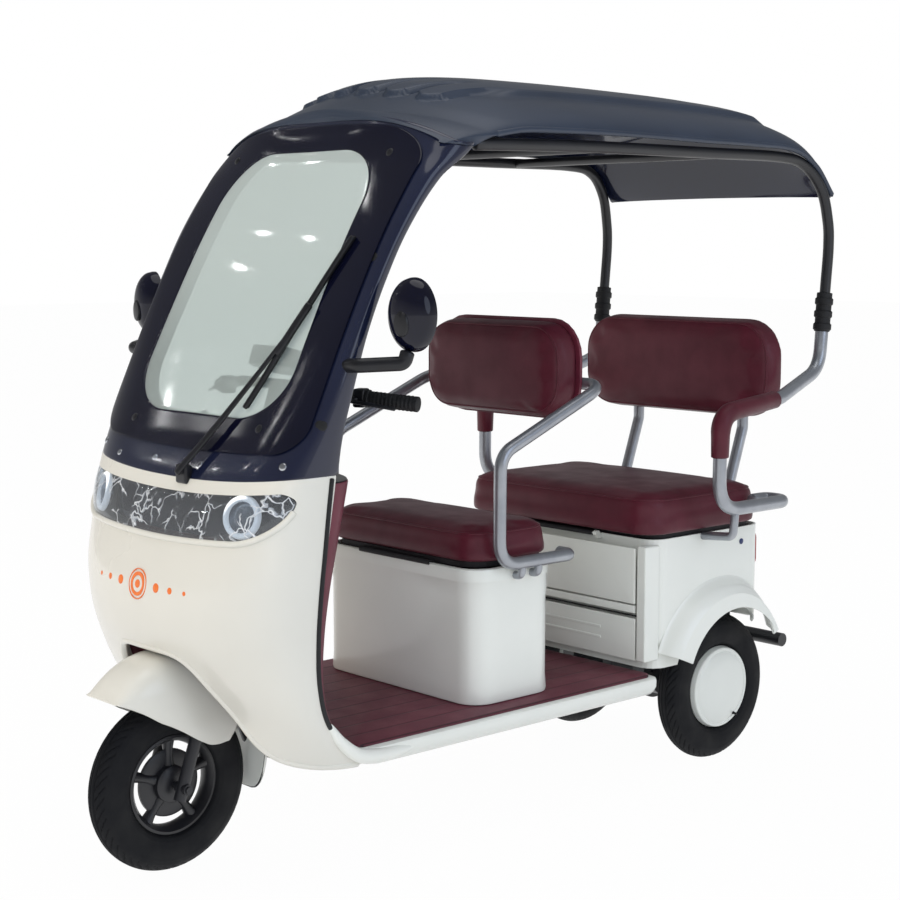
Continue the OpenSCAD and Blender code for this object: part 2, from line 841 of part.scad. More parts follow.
module rear_backrest() {
  color("#5a1d2b") translate([0, rear_back_y + back_t, rear_back_z + rear_back_h / 2]) rotate([90, 0, 0])
    soft_block(2 * rear_back_half, rear_back_h, 96, back_t);
}

module backrest_posts() {
  y = rear_back_y + back_t + back_post_d / 2 + seat_gap;
  foot_y = rear_front_y + rear_len + back_post_d / 2 + 2 * seat_gap;
  bar_z = rear_back_z + rear_back_h - 100;
  points = [
    [post_gap_x, y, bar_z + 10], [post_gap_x, y, rear_back_z - 30],
    [post_gap_x, foot_y, rear_top + 70], [post_gap_x, foot_y, rear_top - 110]
  ];
  color("#b8bcc2") union() {
    for (side = sides) {
      post = mirrored(points, side);
      for (i = [0 : 2]) rod(post[i], post[i + 1], back_post_d);
      for (i = [1 : 2]) ball(post[i], back_post_d);
    }
    rod([-post_gap_x, y, bar_z], [post_gap_x, y, bar_z], back_post_d - 6);
  }
}

front_box_y = front_axle_y + 617;
front_back_y = front_box_y + front_box_len + 32;
front_back_half = 230;
shell_t = 8;
front_rail_bend = 34;

module front_backrest() {
  color("#5a1d2b") translate([0, front_back_y + back_t, front_back_z + front_back_h / 2]) rotate([90, 0, 0])
    soft_block(2 * front_back_half, front_back_h, 84, back_t);
}

module backrest_shell() {
  color("white") translate([0, front_back_y + back_t + seat_gap + shell_t, front_back_z + front_back_h / 2])
    rotate([90, 0, 0]) slab(2 * front_back_half + 8, front_back_h + 8, 88, shell_t);
}

// Front seat box, rails, board and cushion

front_top = mat_top + front_box_h;
front_mid_y = front_box_y + front_box_len / 2;
front_box_corner = 54;
hinge_d = 6;
hinge_out = 8;
hinge_span = 120;
lug_w = 10;
lug_h = 12;
lid_gap = 0.5;

module seat_hinge(y, z, reach) {
  lug_x = hinge_span + 12;
  for (side = sides) translate([side * lug_x, y, z]) {
    rotate([0, 90, 0]) cylinder(h = lug_w, d = hinge_d + 8, center = true);
    translate([-lug_w / 2, 0, -lug_h]) cube([lug_w, reach, lug_h]);
  }
  rod([-lug_x, y, z], [lug_x, y, z], hinge_d);
}

module seat_knuckle(y, z, reach) {
  span = [hinge_span, 0, 0];
  mid = [0, y, z];
  difference() {
    union() {
      rod(mid - span, mid + span, hinge_d + 6);
      translate(mid - span) cube([2 * hinge_span, reach, (hinge_d + 6) / 2]);
    }
    rod(mid - 1.5 * span, mid + 1.5 * span, hinge_d + 2 * run_gap);
  }
}

front_hinge = [front_box_y - hinge_out, front_top + lid_gap];

module front_seat_box() {
  color("#f1f2ee") union() {
    translate([0, front_mid_y, mat_top + seat_gap]) difference() {
      slab(2 * front_box_half, front_box_len, front_box_corner, front_box_h - seat_gap);
      translate([0, 0, box_wall])
        slab(
          2 * (front_box_half - box_wall), front_box_len - 2 * box_wall,
          front_box_corner - box_wall, front_box_h
        );
    }
    seat_hinge(front_hinge.x, front_hinge.y, hinge_out + 1);
  }
}

module front_seat_board() {
  color("#1b1b1f") union() {
    translate([0, front_mid_y, front_top + lid_gap])
      slab(2 * front_box_half - 16, front_box_len - 8, 58, board_t);
    seat_knuckle(front_hinge.x, front_hinge.y, hinge_out + 8);
  }
}

module front_seat_cushion() {
  color("#5a1d2b") translate([0, front_mid_y, front_top + lid_gap + board_t + seat_gap])
    soft_block(2 * front_box_half, front_box_len, 62, front_cushion_h);
}

module front_seat_rails() {
  back_y = front_back_y + back_t + shell_t + 3 * seat_gap + front_rail_d / 2;
  base_z = front_top + 9;
  points = [
    [front_back_half - 140, back_y, front_back_z + 80],
    [front_rail_x, back_y, front_back_z + 80],
    [front_rail_x, front_box_y + 45, front_back_z - 52],
    [front_rail_x, front_box_y + 42, base_z],
    [front_rail_x, front_box_y + front_box_len - 8, base_z]
  ];
  color("#b8bcc2") for (side = sides) union() {
    tube_run(mirrored(points, side), front_rail_d, front_rail_bend);
    for (y = [front_box_y + 110, front_box_y + 160]) {
      rod([side * front_rail_x, y, base_z], [side * front_rail_x, y, base_z - 30], front_rail_d - 10);
      rod(
        [side * front_rail_x, y, base_z - 30], [side * (front_box_half + seat_gap), y, base_z - 30],
        front_rail_d - 10
      );
      ball([side * front_rail_x, y, base_z - 30], front_rail_d - 10);
    }
  }
}

// Rear body, access panel, guards and rear seat

rear_front_y = rear_axle_y - 303;
rear_mid_y = rear_front_y + rear_len / 2;
rear_low = mat_top + 4;
tub_floor = axle_z + 226;
rear_arch = [rear_axle_y - 43, axle_z + 38];
rear_arch_r = 176;
panel_low = rear_top - 150;
panel_t = 8;
rear_corner = 46;
wheel_room = 14;
rear_hinge = [rear_front_y - hinge_out - panel_t, rear_top + lid_gap];

module rear_body() {
  well_half = rear_track / 2 + tyre_w / 2 + wheel_room;
  color("#eef0ec") difference() {
    union() {
      translate([0, rear_mid_y, rear_low]) slab(2 * rear_half, rear_len, rear_corner, rear_top - rear_low);
      seat_hinge(rear_hinge.x, rear_hinge.y, rear_front_y - rear_hinge.x + 1);
    }
    translate([0, rear_mid_y, tub_floor + box_wall])
      slab(2 * (rear_half - box_wall), rear_len - 2 * box_wall, rear_corner - box_wall, rear_top);
    translate([0, rear_mid_y, rear_low - 1])
      slab(2 * (rear_half - box_wall), rear_len - 2 * box_wall, rear_corner - box_wall, tub_floor - rear_low + 1);
    translate([0, rear_arch.x, rear_arch.y]) rotate([0, 90, 0])
      cylinder(h = 3 * rear_half, r = rear_arch_r + 6, center = true);
    translate([0, rear_axle_y, axle_z]) rotate([0, 90, 0])
      cylinder(h = 2 * well_half, r = tyre_d / 2 + wheel_room, center = true);
  }
}

module access_panel() {
  height = rear_top - panel_low - 14;
  color("#f4f5f1") translate([0, rear_front_y - seat_gap, panel_low + height / 2]) rotate([90, 0, 0])
    slab(2 * (rear_half - rear_corner) - 8, height, 12, panel_t);
}

// Rows of each rear guard: angle from behind the wheel, outer radius
fender_rows = [
  [34, 196],
  [45, 206],
  [60, 223],
  [75, 237],
  [98, 246],
  [120, 250],
  [157, 252]
];
fender_rim = rear_arch_r + 6;
guard_reach = 34;
// Section of each rear guard: reach past the body, share of the way from the rim to the outer radius
fender_section = [
  [0, 1.12],
  [6, 1.04],
  [22, 0.88],
  [32, 0.64],
  [guard_reach, 0.32],
  [guard_reach, 0]
];

module rear_guards() {
  function spot(angle, row, wall) =
    let (r = fender_rim + (smooth(fender_rows, angle, 1) - fender_rim) * row[1] - (row[1] > 0.5 ? wall : 0))
    [
      rear_half + seat_gap + max(row[0] - wall, 0),
      rear_arch.x + r * cos(angle),
      rear_arch.y + r * sin(angle)
    ];
  function layer(wall) = [
    for (row = fender_section)
      [for (angle = spread(21, fender_rows[0][0], fender_rows[len(fender_rows) - 1][0])) spot(angle, row, wall)]
  ];
  color("#eef0ec") for (side = sides) mirror([side < 0 ? 1 : 0, 0, 0]) sheet(layer(0), layer(guard_wall));
}

module rear_seat_board() {
  color("#1b1b1f") union() {
    translate([0, rear_mid_y - 8, rear_top + lid_gap])
      slab(2 * rear_half - 16, rear_len - 40, 40, board_t);
    seat_knuckle(rear_hinge.x, rear_hinge.y, hinge_out + 34);
  }
}

rear_cushion_len = 430;
rear_overhang = 40;

module rear_seat_cushion() {
  mid_y = rear_front_y - rear_overhang + rear_cushion_len / 2;
  color("#5a1d2b") translate([0, mid_y, rear_top + lid_gap + board_t + seat_gap])
    soft_block(2 * rear_cushion_half, rear_cushion_len, 70, rear_cushion_h);
}

module tail_lamps() {
  color("#a5161c") for (side = sides)
    translate([side * (rear_half - 70), rear_front_y + rear_len + seat_gap, rear_top - 70]) rotate([-90, 0, 0])
      slab(64, 92, 20, 22);
}

// Bumper across the back with a plate bracket

bumper_y = rear_axle_y + 226;
bumper_z = 268;
bumper_d = 34;
plate_hole_d = 7;
plate_holes = 140;
plate_t = 4;

module rear_bumper() {
  color("#17171b") difference() {
    union() {
      rod([-272, bumper_y, bumper_z], [272, bumper_y, bumper_z], bumper_d);
      for (side = sides)
        translate([side * frame_x - 12, frame_rear + seat_gap, bumper_z - 4])
          cube([24, bumper_y - frame_rear, 24]);
      translate([-100, bumper_y - plate_t / 2, bumper_z]) cube([200, plate_t, 92]);
    }
    for (side = sides) translate([side * plate_holes / 2, bumper_y, bumper_z + 66]) rotate([90, 0, 0])
      cylinder(h = 20, d = plate_hole_d, center = true);
  }
}

// Floor and frame

floor_front = front_axle_y + 214;
floor_rear = rear_front_y - panel_gap;
floor_mid = (floor_front + floor_rear) / 2;
frame_x = 120;
down_tube_d = 38;
frame_tube = 30;
frame_top = floor_z - floor_t - seat_gap;
frame_front = floor_front - 17;
frame_rear = rear_axle_y + 150;
kick_y = rear_front_y + box_wall + 3;
kick_z = axle_z + 96;

module floor_pan() {
  corner = 30;
  wide_front = floor_front + 52;
  color("#eceee9") translate([0, 0, floor_z - floor_t]) difference() {
    union() {
      translate([0, (wide_front + floor_rear) / 2, 0])
        slab(2 * floor_half, floor_rear - wide_front, corner, floor_t);
      translate([0, floor_mid, 0])
        slab(2 * (floor_half - corner / 2), floor_rear - floor_front, corner, floor_t);
    }
    translate([-down_tube_d / 2 - 4, floor_front - 1, -1])
      cube([down_tube_d + 8, 26, floor_t + 2]);
  }
}

module floor_mat() {
  length = floor_rear - floor_front - 40;
  color("#5a1d2b") translate([0, floor_mid + 8, floor_z + seat_gap])
    slab(2 * floor_half - 36, length, 24, mat_t - seat_gap);
}

module main_frame() {
  head_low = 545;
  head_high = 690;
  head_d = column_d + 16;
  head = steer_at(head_low + 30);
  knee = [0, head.y, 380];
  stay_x = 170;
  column_room = 6;
  color("#232328") difference() {
    union() {
      for (side = sides) {
        translate([side * frame_x - frame_tube / 2, frame_front, frame_top - frame_tube])
          cube([frame_tube, kick_y + frame_tube - frame_front, frame_tube]);
        translate([side * frame_x - frame_tube / 2, kick_y, frame_top - frame_tube])
          cube([frame_tube, frame_tube, kick_z - frame_top + frame_tube]);
        translate([side * frame_x - frame_tube / 2, kick_y, kick_z])
          cube([frame_tube, frame_rear - kick_y, frame_tube]);
      }
      for (y = [frame_front, floor_mid, kick_y])
        translate([-frame_x, y, frame_top - frame_tube]) cube([2 * frame_x, frame_tube, frame_tube]);
      for (y = [rear_front_y + 120, rear_axle_y + 120])
        translate([-frame_x, y, kick_z]) cube([2 * frame_x, frame_tube, frame_tube]);
      for (side = sides) {
        translate([side * stay_x - frame_tube / 2, kick_y + frame_tube, kick_z])
          cube([frame_tube, frame_tube, tub_floor - kick_z - seat_gap]);
        translate([min(side * frame_x, side * stay_x), kick_y + frame_tube, kick_z])
          cube([stay_x - frame_x, frame_tube, frame_tube]);
      }
      rod(steer_at(head_low), steer_at(head_high), head_d);
      rod(head, knee, down_tube_d);
      ball(knee, down_tube_d);
      rod(knee, [0, frame_front + frame_tube / 2, frame_top - frame_tube / 2], down_tube_d);
    }
    rod(steer_at(head_low - 60), steer_at(head_high + 60), column_d + 2 * run_gap);
    rod(steer_at(head_low - 100), steer_at(head_low + 1), column_d + 2 * column_room);
  }
}

axle_tube_d = 54;
gear_half = 46;
gear_d = 130;
motor_d = 104;
spring_w = 36;
leaf_t = 7;
// How far each rear wheel's bore runs past the tyre's centre plane
bore_past_mid = 16;

module rear_axle() {
  end = rear_track / 2 + bore_past_mid - 2;
  tube = (rear_track - tyre_w) / 2 - 12;
  motor_y = rear_axle_y - 20;
  motor_end = frame_x - spring_w / 2 - 6;
  color("#2a2a2f") union() {
    rod([-end, rear_axle_y, axle_z], [end, rear_axle_y, axle_z], rear_axle_d);
    rod([-tube, rear_axle_y, axle_z], [tube, rear_axle_y, axle_z], axle_tube_d);
    rod([-gear_half, rear_axle_y, axle_z], [gear_half, rear_axle_y, axle_z], gear_d);
    rod([gear_half - 6, motor_y, axle_z + 6], [motor_end, motor_y, axle_z + 6], motor_d);
  }
}

module leaf_springs() {
  low = axle_z + axle_tube_d / 2 + seat_gap;
  color("#2a2a2f") for (side = sides) translate([side * frame_x, 0, 0]) union() {
    for (i = [0 : 2]) translate([-spring_w / 2, rear_axle_y - 150 + 34 * i, low + leaf_t * i])
      cube([spring_w, 300 - 68 * i, leaf_t]);
    for (end = sides) translate([-spring_w / 2, rear_axle_y + 136 * end - 14, low])
      cube([spring_w, 28, kick_z - seat_gap - low]);
  }
}

module battery_pack() {
  color("#303238") translate([-150, rear_front_y + 60, tub_floor + box_wall + seat_gap]) cube([300, 240, 150]);
}

// Steering: fork, guard, handlebar, grips, levers and pod

steer_axis = [0, sin(rake), cos(rake)];
function steer_at(z) = [0, front_axle_y + axle_lead + (z - axle_z) * tan(rake), z];
leg_x = tyre_w / 2 + fork_gap + fork_leg_d / 2;
crown_up = 198;
crown_t = 18;

module fork() {
  hub = [0, front_axle_y, axle_z];
  crown = hub + steer_axis * crown_up;
  axis_crown = steer_at(crown.z);
  leg_half = fork_leg_d / 2;
  color("#26262b") union() {
    for (side = sides) {
      leg = [side * leg_x, 0, 0];
      rod(hub + leg - steer_axis * 26, crown + leg + steer_axis * crown_t, fork_leg_d);
      rod(hub + leg - [side * (leg_half + 5), 0, 0], hub + leg + [side * 20, 0, 0], front_axle_d + 8);
    }
    rod(hub - [leg_x + 24, 0, 0], hub + [leg_x + 24, 0, 0], front_axle_d);
    along(crown, steer_axis) translate([-leg_x - leg_half, -20, 0])
      cube([2 * (leg_x + leg_half), 72, crown_t]);
    rod(axis_crown, steer_at(bar_z), column_d);
  }
}

module front_guard() {
  function spot(angle, r, x) = [x, front_axle_y - r * cos(angle), axle_z + r * sin(angle)];
  function crown_r(angle) = guard_r - 26 * pow(max(85 - angle, 0) / 32, 2);
  function side_r(angle) = smooth(guard_rows, angle, 1);
  function layer(inset) = [
    for (angle = spread(13, guard_rows[0][0], guard_rows[len(guard_rows) - 1][0])) [
      for (t = spread(17))
        let (half = smooth(guard_rows, angle, 2) - inset, high = crown_r(angle) - inset)
          spot(
            angle, side_r(angle) + (high - side_r(angle)) * pow(cos(90 * t), 0.6),
            half * sign(t) * pow(abs(sin(90 * t)), 0.6)
          )
    ]
  ];
  color("#f3f3ee") difference() {
    sheet(layer(0), layer(guard_wall));
    rod(steer_at(axle_z), steer_at(bar_z), column_d + 2 * seat_gap);
  }
}

// Rows of the front guard: angle over the axle from the front, lower edge, half width
guard_rows = [
  [53, 224, 62],
  [70, 208, 80],
  [95, 180, guard_half],
  [113, 168, guard_half - 2]
];

bar_bend = 40;
bar_mid = [0, steer_at(bar_z).y - 2, bar_z + 14];
grip_root = [bar_reach - 120, bar_mid.y + 56, bar_z - 4];
grip_end = [bar_reach, bar_mid.y + 120, bar_z - 15];

module handlebar() {
  inner = [96, bar_mid.y + 4, bar_z + 14];
  outer = grip_root + (grip_end - grip_root) * 0.97;
  points = concat(
    mirrored([outer, grip_root, inner], 1),
    mirrored([inner, grip_root, outer], -1)
  );
  color("#1a1a1e") union() {
    tube_run(points, bar_d, bar_bend);
    rod(steer_at(bar_z) + steer_axis * seat_gap, steer_at(bar_z) + steer_axis * 40, column_d + 10);
  }
}

module grips() {
  color("#121214") for (side = sides) {
    ends = mirrored([grip_root + (grip_end - grip_root) * 0.2, grip_end], side);
    difference() {
      rod(ends[0], ends[1], grip_d);
      rod(ends[0] - (ends[1] - ends[0]), ends[0] + (ends[1] - ends[0]) * 0.97, bar_d + 2 * seat_gap);
    }
  }
}

module brake_levers() {
  color("#1f1f24") for (side = sides) {
    perch = mirrored([grip_root + (grip_end - grip_root) * 0.1], side)[0];
    spread_out = mirrored([unit(grip_end - grip_root)], side)[0];
    pivot = perch + [0, -34, -4];
    tip = mirrored([grip_end + [-20, -44, -8]], side)[0];
    difference() {
      union() {
        rod(perch - spread_out * 11, perch + spread_out * 11, bar_d + 14);
        rod(perch, pivot, 14);
        ball(pivot, 14);
        rod(pivot, tip, 10);
        translate(tip) sphere(d = 13);
      }
      rod(perch - spread_out * 40, perch + spread_out * 40, bar_d + 2 * seat_gap);
    }
  }
}

module instrument_pod() {
  base = steer_at(bar_z) + steer_axis * (40 + seat_gap);
  color("#18181c") along(base, steer_axis) translate([0, -6, 0]) slab(150, 92, 34, 40);
}

// Wheels

module tyre(x) {
  r = tyre_d / 2;
  bead = rim_d / 2;
  half = tyre_w / 2;
  profile = [
    [bead, -half + 14], [bead + 10, -half + 5], [bead + 30, -half], [r - 22, -half + 4],
    [r - 8, -half + 14], [r - 2, -10], [r, 0], [r - 2, 10],
    [r - 8, half - 14], [r - 22, half - 4], [bead + 30, half], [bead + 10, half - 5], [bead, half - 14],
    [bead, half - 20], [r - 18, half - 12], [r - 14, 0], [r - 18, -half + 12], [bead, -half + 20]
  ];
  color("#141416") translate([x, x == 0 ? front_axle_y : rear_axle_y, axle_z]) rotate([0, 90, 0])
    rotate_extrude($fn = 96) polygon(profile);
}

rim_wall = 6;
hub_d = 78;

module rim_barrel(outer) {
  half = tyre_w / 2;
  rotate_extrude($fn = 96) polygon([
    [outer, -half + 14], [outer, -half + 20 + rim_wall], [outer - 10, -half + 26], [outer - 10, half - 26],
    [outer, half - 20 - rim_wall], [outer, half - 14], [outer - rim_wall, half - 14],
    [outer - rim_wall - 10, half - 22], [outer - rim_wall - 10, -half + 22], [outer - rim_wall, -half + 14]
  ]);
}

module front_rim() {
  outer = rim_d / 2 - seat_gap;
  width = 2 * (leg_x - fork_leg_d / 2 - fork_gap) - 2;
  color("#1b1b1f") translate([0, front_axle_y, axle_z]) rotate([0, 90, 0]) difference() {
    union() {
      rim_barrel(outer);
      cylinder(h = width - 8, d = hub_d, center = true);
      for (i = [0 : spoke_count - 1]) rotate([0, 0, 360 / spoke_count * i])
        translate([hub_d / 2 - 6, -13, -11]) cube([outer - hub_d / 2 - 5, 26, 22]);
    }
    cylinder(h = 2 * tyre_w, d = front_axle_d + 2 * run_gap, center = true);
  }
}

module rear_rim(side) {
  outer = rim_d / 2 - seat_gap;
  half = tyre_w / 2;
  cap = hubcap_d / 2;
  place = [side * rear_track / 2, rear_axle_y, axle_z];
  color("#eef0ec") translate(place) rotate([0, side * 90, 0]) difference() {
    union() {
      rim_barrel(outer);
      translate([0, 0, -10]) cylinder(h = half - 11, r = outer - rim_wall - 8);
      rotate_extrude($fn = 96) polygon([
        [0, half - 22], [outer - rim_wall - 2, half - 22], [outer - rim_wall - 2, half - 6],
        [outer - rim_wall - 8, half], [0.62 * cap, half + 0.7 * hubcap_dome], [0.3 * cap, half + hubcap_dome],
        [0, half + hubcap_dome + 1]
      ]);
      cylinder(h = half - 20, r = 40);
      translate([0, 0, -half + 4]) cylinder(h = half, r = 34);
    }
    translate([0, 0, -tyre_w]) cylinder(h = tyre_w + bore_past_mid, d = rear_axle_d + 2 * run_gap);
  }
}

module front_tyre() { tyre(0); }
module rear_tyre_left() { tyre(rear_track / 2); }
module rear_tyre_right() { tyre(-rear_track / 2); }
module rear_rim_left() { rear_rim(1); }
module rear_rim_right() { rear_rim(-1); }

main_frame();
floor_pan();
floor_mat();
front_shell();
inner_shield();
dash_panel();
headlamp_housing();
headlamps();
headlamp_cover();
windscreen_cowl();
screen_border();
windscreen();
wiper();
mirror_arms();
mirror_heads();
mirror_glasses();
canopy_roof();
roof_frame();
post_sleeves();
rear_rails();
armrest_pads();
rear_backrest();
backrest_posts();
rear_body();
access_panel();
rear_guards();
tail_lamps();
rear_bumper();
front_seat_box();
front_seat_rails();
front_backrest();
backrest_shell();
rear_axle();
leaf_springs();
battery_pack();
fork();
front_guard();
handlebar();
grips();
brake_levers();
instrument_pod();
front_tyre();
front_rim();
rear_tyre_left();
rear_rim_left();
rear_tyre_right();
rear_rim_right();
front_seat_cushion();
front_seat_board();
rear_seat_cushion();
rear_seat_board();
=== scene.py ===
import math
import bmesh
import bpy
import numpy as np
from mathutils import Matrix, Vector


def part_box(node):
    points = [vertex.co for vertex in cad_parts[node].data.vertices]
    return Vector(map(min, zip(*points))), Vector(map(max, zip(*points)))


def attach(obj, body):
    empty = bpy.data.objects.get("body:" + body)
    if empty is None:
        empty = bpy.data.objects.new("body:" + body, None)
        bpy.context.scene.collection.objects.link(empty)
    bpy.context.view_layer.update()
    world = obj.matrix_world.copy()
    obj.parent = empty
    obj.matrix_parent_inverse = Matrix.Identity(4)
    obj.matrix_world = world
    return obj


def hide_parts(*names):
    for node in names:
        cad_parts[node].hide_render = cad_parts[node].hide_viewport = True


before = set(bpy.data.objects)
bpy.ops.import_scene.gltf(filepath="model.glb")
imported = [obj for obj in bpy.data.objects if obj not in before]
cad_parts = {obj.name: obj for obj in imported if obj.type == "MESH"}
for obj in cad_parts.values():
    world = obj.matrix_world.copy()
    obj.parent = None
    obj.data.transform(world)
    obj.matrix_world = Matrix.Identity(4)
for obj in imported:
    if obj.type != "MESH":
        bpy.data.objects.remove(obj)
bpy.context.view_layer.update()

scene = bpy.context.scene
mm = 0.001
sides = (-1, 1)  # right and left
print("frame loaded", flush=True)


def linear(colour):
    # sRGB hex to the linear values that shaders take
    c = np.array([int(colour[i:i + 2], 16) for i in (1, 3, 5)]) / 255
    c = np.where(c <= 0.04045, c / 12.92, ((c + 0.055) / 1.055) ** 2.4)
    return (*c.tolist(), 1.0)


def tag(side):
    # L for the side of positive x, R for the other
    return "L" if side > 0 else "R"


def nodeBox(name):
    # Lower and upper corner of a CAD node, in mm
    return (np.array(v) * 1000 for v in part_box(name))


def add(tree, kind, inputs=None, **settings):
    # New shader node: each input takes a link or a plain value
    made = tree.nodes.new("ShaderNode" + kind)
    for key, value in settings.items():
        setattr(made, key, value)
    for key, value in (inputs or {}).items():
        if isinstance(value, bpy.types.NodeSocket):
            tree.links.new(value, made.inputs[key])
        else:
            made.inputs[key].default_value = value
    return made


def ramp(tree, value, low, high, outLow=0.0, outHigh=1.0):
    # Straight line from low and outLow to high and outHigh, held at its ends
    return add(tree, "MapRange", {0: value, 1: low, 2: high, 3: outLow, 4: outHigh}).outputs[0]


def mixColour(tree, factor, first, second, way="MIX"):
    # First colour times one minus the factor, plus the second times the factor
    return add(tree, "Mix", {0: factor, 6: first, 7: second}, data_type="RGBA", blend_type=way).outputs[2]


def calc(tree, way, first, second):
    # One sum on two values, named by way
    return add(tree, "Math", {0: first, 1: second}, operation=way).outputs[0]


def finish(name, look):
    # Any opaque finish: two close tones in soft patches, a grain that dents the surface, and a
    # roughness that follows the patches, so the eye sees a made surface and not one flat colour
    mat = bpy.data.materials.new(name)
    mat.use_nodes = True
    tree = mat.node_tree
    shader = tree.nodes["Principled BSDF"]
    place = add(tree, "TexCoord").outputs["Object"]
    patch = add(tree, "TexNoise", {"Vector": place, "Scale": 1000 / look["patchMm"], "Detail": 4.0}).outputs[0]
    tone = ramp(tree, patch, 0.35, 0.65)
    colour = mixColour(tree, tone, linear(look["colour"]), linear(look["tone"]))
    fine = 1000 / look["grainMm"]
    if look.get("cells"):
        height = add(tree, "TexVoronoi", {"Vector": place, "Scale": fine}, feature="SMOOTH_F1").outputs[0]
    else:
        height = add(tree, "TexNoise", {"Vector": place, "Scale": fine, "Detail": 3.0}).outputs[0]
    bump = add(tree, "Bump", {"Strength": look["bump"], "Distance": look["depthMm"] * mm, "Height": height})
    if "foldMm" in look:
        fold = add(tree, "TexNoise", {"Vector": place, "Scale": 1000 / look["foldMm"], "Detail": 2.0}).outputs[0]
        deep = add(tree, "Bump", {"Strength": 0.6, "Distance": look["foldDepthMm"] * mm, "Height": fold})
        tree.links.new(deep.outputs[0], bump.inputs["Normal"])
    rough = look["rough"]
    tree.links.new(colour, shader.inputs["Base Color"])
    tree.links.new(bump.outputs[0], shader.inputs["Normal"])
    tree.links.new(ramp(tree, patch, 0.3, 0.7, rough * 0.88, rough * 1.12), shader.inputs["Roughness"])
    for key, value in look.get("sockets", {}).items():
        shader.inputs[key].default_value = value
    return mat


looks = {
    # sprayed gloss paint over moulded plastic: a soft orange peel under a clear coat
    "cream_paint": dict(colour="#dcdbd2", tone="#d8d7ce", patchMm=300, rough=0.3, grainMm=9, depthMm=0.08, bump=0.12,
                        sockets={"IOR": 1.5, "Coat Weight": 0.6, "Coat Roughness": 0.06}),
    "white_paint": dict(colour="#e9ebe4", tone="#e3e6df", patchMm=260, rough=0.32, grainMm=9, depthMm=0.08, bump=0.12,
                        sockets={"IOR": 1.5, "Coat Weight": 0.5, "Coat Roughness": 0.08}),
    # moulded gloss plastic, almost black with a blue cast
    "navy_cowl": dict(colour="#151a30", tone="#191f36", patchMm=220, rough=0.14, grainMm=14, depthMm=0.06, bump=0.1,
                      sockets={"IOR": 1.45, "Coat Weight": 0.5, "Coat Roughness": 0.05}),
    "black_border": dict(colour="#08091a", tone="#0b0d20", patchMm=200, rough=0.09, grainMm=16, depthMm=0.05, bump=0.08,
                         sockets={"IOR": 1.45}),
    # vacuum-formed satin plastic with a fine leather grain
    "navy_roof": dict(colour="#273141", tone="#2d384a", patchMm=260, rough=0.4, grainMm=2.6, depthMm=0.12, bump=0.3,
                      cells=True, sockets={"IOR": 1.5, "Coat Weight": 0.15, "Coat Roughness": 0.25}),
    # injection-moulded satin plastic
    "black_plastic": dict(colour="#131418", tone="#191a1f", patchMm=60, rough=0.34, grainMm=1.6, depthMm=0.06, bump=0.3,
                          sockets={"IOR": 1.46}),
    # powder-coated steel: a fine pebbled skin
    "black_steel": dict(colour="#17181c", tone="#1d1e23", patchMm=80, rough=0.42, grainMm=1.8, depthMm=0.07, bump=0.4,
                        cells=True, sockets={"IOR": 1.5, "Coat Weight": 0.2, "Coat Roughness": 0.3}),
    # tube sprayed with aluminium-flake paint
    "silver_tube": dict(colour="#a9adb3", tone="#9ea2a9", patchMm=40, rough=0.34, grainMm=1.4, depthMm=0.03, bump=0.3,
                        sockets={"Metallic": 0.75, "Coat Weight": 0.3, "Coat Roughness": 0.15}),
    "bright_metal": dict(colour="#c9ccd0", tone="#bfc2c8", patchMm=12, rough=0.22, grainMm=0.9, depthMm=0.02, bump=0.2,
                         sockets={"Metallic": 1.0}),
    "mirror_glass": dict(colour="#cdd3d8", tone="#c6ccd2", patchMm=60, rough=0.03, grainMm=40, depthMm=0.02, bump=0.05,
                         sockets={"Metallic": 1.0}),
    "black_rubber": dict(colour="#101114", tone="#17181b", patchMm=30, rough=0.62, grainMm=1.2, depthMm=0.08, bump=0.4,
                         sockets={"IOR": 1.5}),
    "tyre_rubber": dict(colour="#04060b", tone="#080a10", patchMm=45, rough=0.72, grainMm=1.5, depthMm=0.06, bump=0.3,
                        sockets={"IOR": 1.4}),
    # vinyl-coated cloth: pebble cells under slow stretch folds
    "maroon_vinyl": dict(colour="#5a1c2b", tone="#501725", patchMm=70, rough=0.46, grainMm=2.4, depthMm=0.25, bump=0.5,
                         cells=True, foldMm=70, foldDepthMm=1.2,
                         sockets={"IOR": 1.42, "Sheen Weight": 0.04, "Sheen Roughness": 0.4}),
    # ribbed floor rubber and moulded shield in the seat's colour
    "maroon_plastic": dict(colour="#6c2a3a", tone="#622535", patchMm=80, rough=0.46, grainMm=2.2, depthMm=0.15, bump=0.4,
                           sockets={"IOR": 1.5}),
    "black_board": dict(colour="#17171a", tone="#212125", patchMm=25, rough=0.7, grainMm=3, depthMm=0.15, bump=0.5,
                        sockets={"IOR": 1.5}),
    "tail_lens": dict(colour="#a3141c", tone="#8e0f18", patchMm=16, rough=0.12, grainMm=5, depthMm=0.4, bump=0.5,
                      cells=True, sockets={"IOR": 1.49, "Coat Weight": 0.6, "Coat Roughness": 0.05}),
    "amber_paint": dict(colour="#ee7a2c", tone="#e6702a", patchMm=8, rough=0.35, grainMm=3, depthMm=0.04, bump=0.2,
                        sockets={"IOR": 1.5}),
    # The ring glows a little: painted light that makes up for the shade inside the lamp band
    "lamp_ring": dict(colour="#eef2f4", tone="#e3e9ee", patchMm=10, rough=0.3, grainMm=2.0, depthMm=0.1, bump=0.4,
                      sockets={"IOR": 1.49, "Emission Color": (1, 1, 1, 1), "Emission Strength": 0.32}),
    "blue_lock": dict(colour="#2a3a6a", tone="#22305a", patchMm=6, rough=0.3, grainMm=1, depthMm=0.03, bump=0.2,
                      sockets={"IOR": 1.5}),
}
materials = {name: finish(name, look) for name, look in looks.items()}


